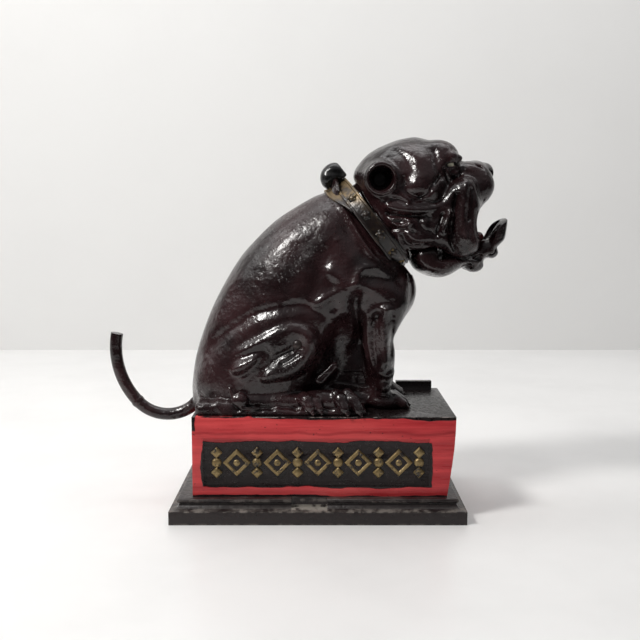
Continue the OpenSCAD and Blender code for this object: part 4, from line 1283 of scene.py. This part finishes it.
def gilt(name, kept):
    """Gold paint that has worn through to black. kept is how much of it is left, from 0 to 1."""
    f = Finish(name)
    wear = f.ramp(f.noise(190, 5, 0.7, offset=4), 0.32 + 0.3 * kept, 0.42 + 0.3 * kept)
    gold = f.mix(f.noise(350, 3), colour(0.17, 0.115, 0.045), colour(0.36, 0.27, 0.135))
    base = f.mix(wear, gold, colour(0.014, 0.011, 0.010))
    rough = f.blend(wear, 0.38, 0.34)
    metal = f.ramp(wear, 0.2, 0.8, 0.75, 0.0)
    grain = f.bump(f.noise(420, 3, 0.6), 0.0004, 0.5, f.bump(wear, 0.0002, 0.5))
    f.set(Base_Color=base, Roughness=rough, Metallic=metal, Normal=grain)
    return f.material


def collar_finish():
    """The collar's band: dark varnish with traces of gold, most of them left at the nape."""
    f = Finish("collar_band")
    left = f.ramp(f.noise(170, 5, 0.7), 0.5, 0.64)
    nape = f.times(f.along(f.axis("Z"), 153, 162), f.ramp(f.noise(120, 4), 0.3, 0.5))
    gold = f.math("MAXIMUM", f.times(left, 0.14), nape)
    base = f.mix(f.noise(300, 3), colour(0.006, 0.004, 0.0035), colour(0.018, 0.010, 0.009))
    base = f.mix(gold, base, colour(0.17, 0.12, 0.062))
    f.set(
        Base_Color=base,
        Roughness=f.blend(gold, 0.3, 0.42),
        Metallic=f.times(gold, 0.6),
        Normal=f.bump(f.noise(260, 3, 0.6), 0.0008, 0.6),
    )
    return f.material


def iron(name, low, high, roughness, metallic):
    """Bare or blackened iron with fine grain and stains."""
    f = Finish(name)
    grain = f.noise(700, 4, 0.65)
    stain = f.ramp(f.noise(90, 4, 0.6), 0.5, 0.7)
    base = f.mix(grain, colour(*low), colour(*high))
    base = f.mix(f.times(stain, 0.6), base, colour(0.06, 0.028, 0.014))
    rough = f.ramp(grain, 0.3, 0.7, roughness, roughness + 0.25)
    f.set(Base_Color=base, Roughness=rough, Metallic=metallic, Normal=f.bump(grain, 0.0002, 0.5))
    return f.material


def knot_finish():
    """Blacker, smoother varnish than the dog's."""
    f = Finish("knot_black_varnish")
    grain = f.noise(260, 3, 0.55)
    base = f.mix(grain, colour(0.004, 0.004, 0.0045), colour(0.012, 0.011, 0.011))
    lumps = f.bump(f.noise(150, 2.5), 0.0004, 0.5)
    rough = f.ramp(grain, 0.3, 0.7, 0.16, 0.34)
    f.set(Base_Color=base, Roughness=rough, Normal=f.bump(grain, 0.0001, 0.5, lumps))
    return f.material


def eye_finish():
    """Cream enamel with a dark pupil that looks forward and out, and a dirty rim."""
    f = Finish("eye_cream_enamel")
    forward = f.math("SUBTRACT", f.axis("X"), (eye_at[0] + 2.1) * MM)
    upward = f.math("SUBTRACT", f.axis("Z"), (eye_at[2] + 0.3) * MM)
    away = f.math("SQRT", f.math("ADD", f.times(forward, forward), f.times(upward, upward)))
    pupil = f.along(away, 1.3, 1.0)
    dirt = f.ramp(f.noise(700, 4, 0.65), 0.45, 0.68)
    cream = f.mix(f.times(dirt, 0.5), colour(0.80, 0.76, 0.60), colour(0.42, 0.36, 0.24))
    base = f.mix(pupil, cream, colour(0.01, 0.008, 0.008))
    rough = f.ramp(dirt, 0, 1, 0.22, 0.45)
    f.set(Base_Color=base, Roughness=rough, Normal=f.bump(dirt, 0.0001, 0.4), Coat_Weight=0.4)
    return f.material


def dress(obj, material):
    """The same material in every slot of an object."""
    if not obj.data.materials:
        obj.data.materials.append(material)
    for i in range(len(obj.data.materials)):
        obj.data.materials[i] = material


# ---- The object ----------------------------------------------------------------------------------


def build_object():
    varnish = japan("black_japan_varnish")
    for obj in build_body() + [build_head()]:
        dress(obj, varnish)
    dress(build_jaw(), japan("black_japan_and_tongue", tongue=True))
    dress(build_knot(), knot_finish())
    collar = collar_finish()
    dress(build_nape(), collar)
    dress(build_rosettes(), gilt("rosette_gilt", 0.22))
    dress(build_pedestal(), red_pedestal())
    dress(build_plate(), plate_black())
    dress(build_ornament(), gilt("ornament_gilt", 0.66))
    steel = iron("pin_steel_worn", (0.10, 0.09, 0.085), (0.26, 0.24, 0.22), 0.35, 0.85)
    spring = iron("spring_steel_wire", (0.14, 0.135, 0.13), (0.34, 0.33, 0.32), 0.28, 0.95)
    trap = iron("trap_sheet_iron", (0.05, 0.045, 0.04), (0.13, 0.115, 0.10), 0.45, 0.7)
    blackened = iron("rivet_blackened", (0.012, 0.009, 0.009), (0.045, 0.032, 0.03), 0.22, 0.2)
    finishes = {
        "collar": collar, "right_eye": eye_finish(), "left_eye": eye_finish(), "return_spring": spring,
        "tail_lever": japan("tail_varnish"), "thigh_rivet": blackened, "coin_trap": trap, "trap_rivet": steel,
        "tail_pin": steel, "neck_pin": steel, "jaw_pin": steel, "link_rod": steel, "link_lower_pin": steel,
        "link_upper_pin": steel, "body_screws": steel, "base_screws": steel,
    }
    for node, material in finishes.items():
        dress(frame["nodes"][node], material)


# ---- Studio --------------------------------------------------------------------------------------


def studio_surface(name, vertices, shade, mottle, roughness):
    """Flat surface of the studio, in metres, whose shade varies a little."""
    mesh = bpy.data.meshes.new(name)
    mesh.from_pydata(vertices, [], [list(range(len(vertices)))])
    obj = bpy.data.objects.new(name, mesh)
    bpy.context.scene.collection.objects.link(obj)
    f = Finish(name + "_paint")
    base = f.mix(f.ramp(f.noise(9, 4, 0.6), 0.35, 0.7), colour(*shade), colour(*[v * mottle for v in shade]))
    f.set(Base_Color=base, Roughness=roughness, Normal=f.bump(f.noise(60, 3), 0.0003, 0.2))
    dress(obj, f.material)


def area_light(name, at, target, size, power, tint=(1, 1, 1)):
    light = bpy.data.lights.new(name, "AREA")
    light.shape = "RECTANGLE"
    light.size, light.size_y = size
    light.energy = power
    light.color = tint
    obj = bpy.data.objects.new(name, light)
    obj.location = at
    obj.rotation_euler = (Vector(target) - Vector(at)).to_track_quat("-Z", "Y").to_euler()
    bpy.context.scene.collection.objects.link(obj)


def build_studio():
    """Pale floor and wall, a key light at the upper left, a fill, a light overhead and one on the wall."""
    half, front_y, wall_y, wall_top = 2.5, -0.3, 0.53, 1.8
    floor = [(-half, front_y, 0), (half, front_y, 0), (half, wall_y, 0), (-half, wall_y, 0)]
    wall = [(-half, wall_y, 0), (half, wall_y, 0), (half, wall_y, wall_top), (-half, wall_y, wall_top)]
    studio_surface("floor", floor, (0.80, 0.796, 0.79), 0.94, 0.34)
    studio_surface("backdrop", wall, (0.76, 0.757, 0.748), 0.985, 0.7)
    middle = (0, 0, 0.09)
    area_light("key", (-0.62, -0.44, 0.84), middle, (0.21, 0.15), 8.8, (1, 0.985, 0.96))
    area_light("left_fill", (-0.82, 0.06, 0.72), middle, (0.42, 0.5), 0.9, (1, 0.99, 0.98))
    area_light("top", (0.05, 0.12, 1.15), middle, (1.1, 0.7), 2.4)
    area_light("wall_wash", (0, 0.12, 0.75), (0, wall_y, 0.16), (1.6, 0.25), 2.7)
    build_world()
    bpy.context.scene.view_settings.view_transform = "Standard"


def build_world():
    """A room that is pale overhead and dim low down, so that the varnish stays dark at the sides."""
    world = bpy.data.worlds.new("pale_room")
    bpy.context.scene.world = world
    world.use_nodes = True
    tree = world.node_tree
    place = tree.nodes.new("ShaderNodeTexCoord")
    split = tree.nodes.new("ShaderNodeSeparateXYZ")
    tree.links.new(place.outputs["Generated"], split.inputs[0])
    level = tree.nodes.new("ShaderNodeMapRange")
    level.interpolation_type = "SMOOTHSTEP"
    for name, number in zip(("From Min", "From Max", "To Min", "To Max"), (0.0, 0.85, 0.03, 0.30)):
        level.inputs[name].default_value = number
    tree.links.new(split.outputs["Z"], level.inputs["Value"])
    tree.links.new(level.outputs["Result"], tree.nodes["Background"].inputs["Strength"])
    tree.nodes["Background"].inputs["Color"].default_value = (0.95, 0.95, 0.97, 1)


def build_camera():
    """The photo's view: from the dog's right side, a little above it and looking slightly down."""
    pitch = np.radians(6.69)
    camera = bpy.data.cameras.new("photo_view")
    camera.sensor_width = 36
    camera.lens = 51.80625
    camera.dof.use_dof = False
    obj = bpy.data.objects.new("photo_view", camera)
    obj.location = (0.00105, -0.481, 0.152)
    obj.rotation_euler = (np.pi / 2 - pitch, 0, 0)
    bpy.context.scene.collection.objects.link(obj)
    bpy.context.scene.camera = obj


build_object()
build_studio()
build_camera()
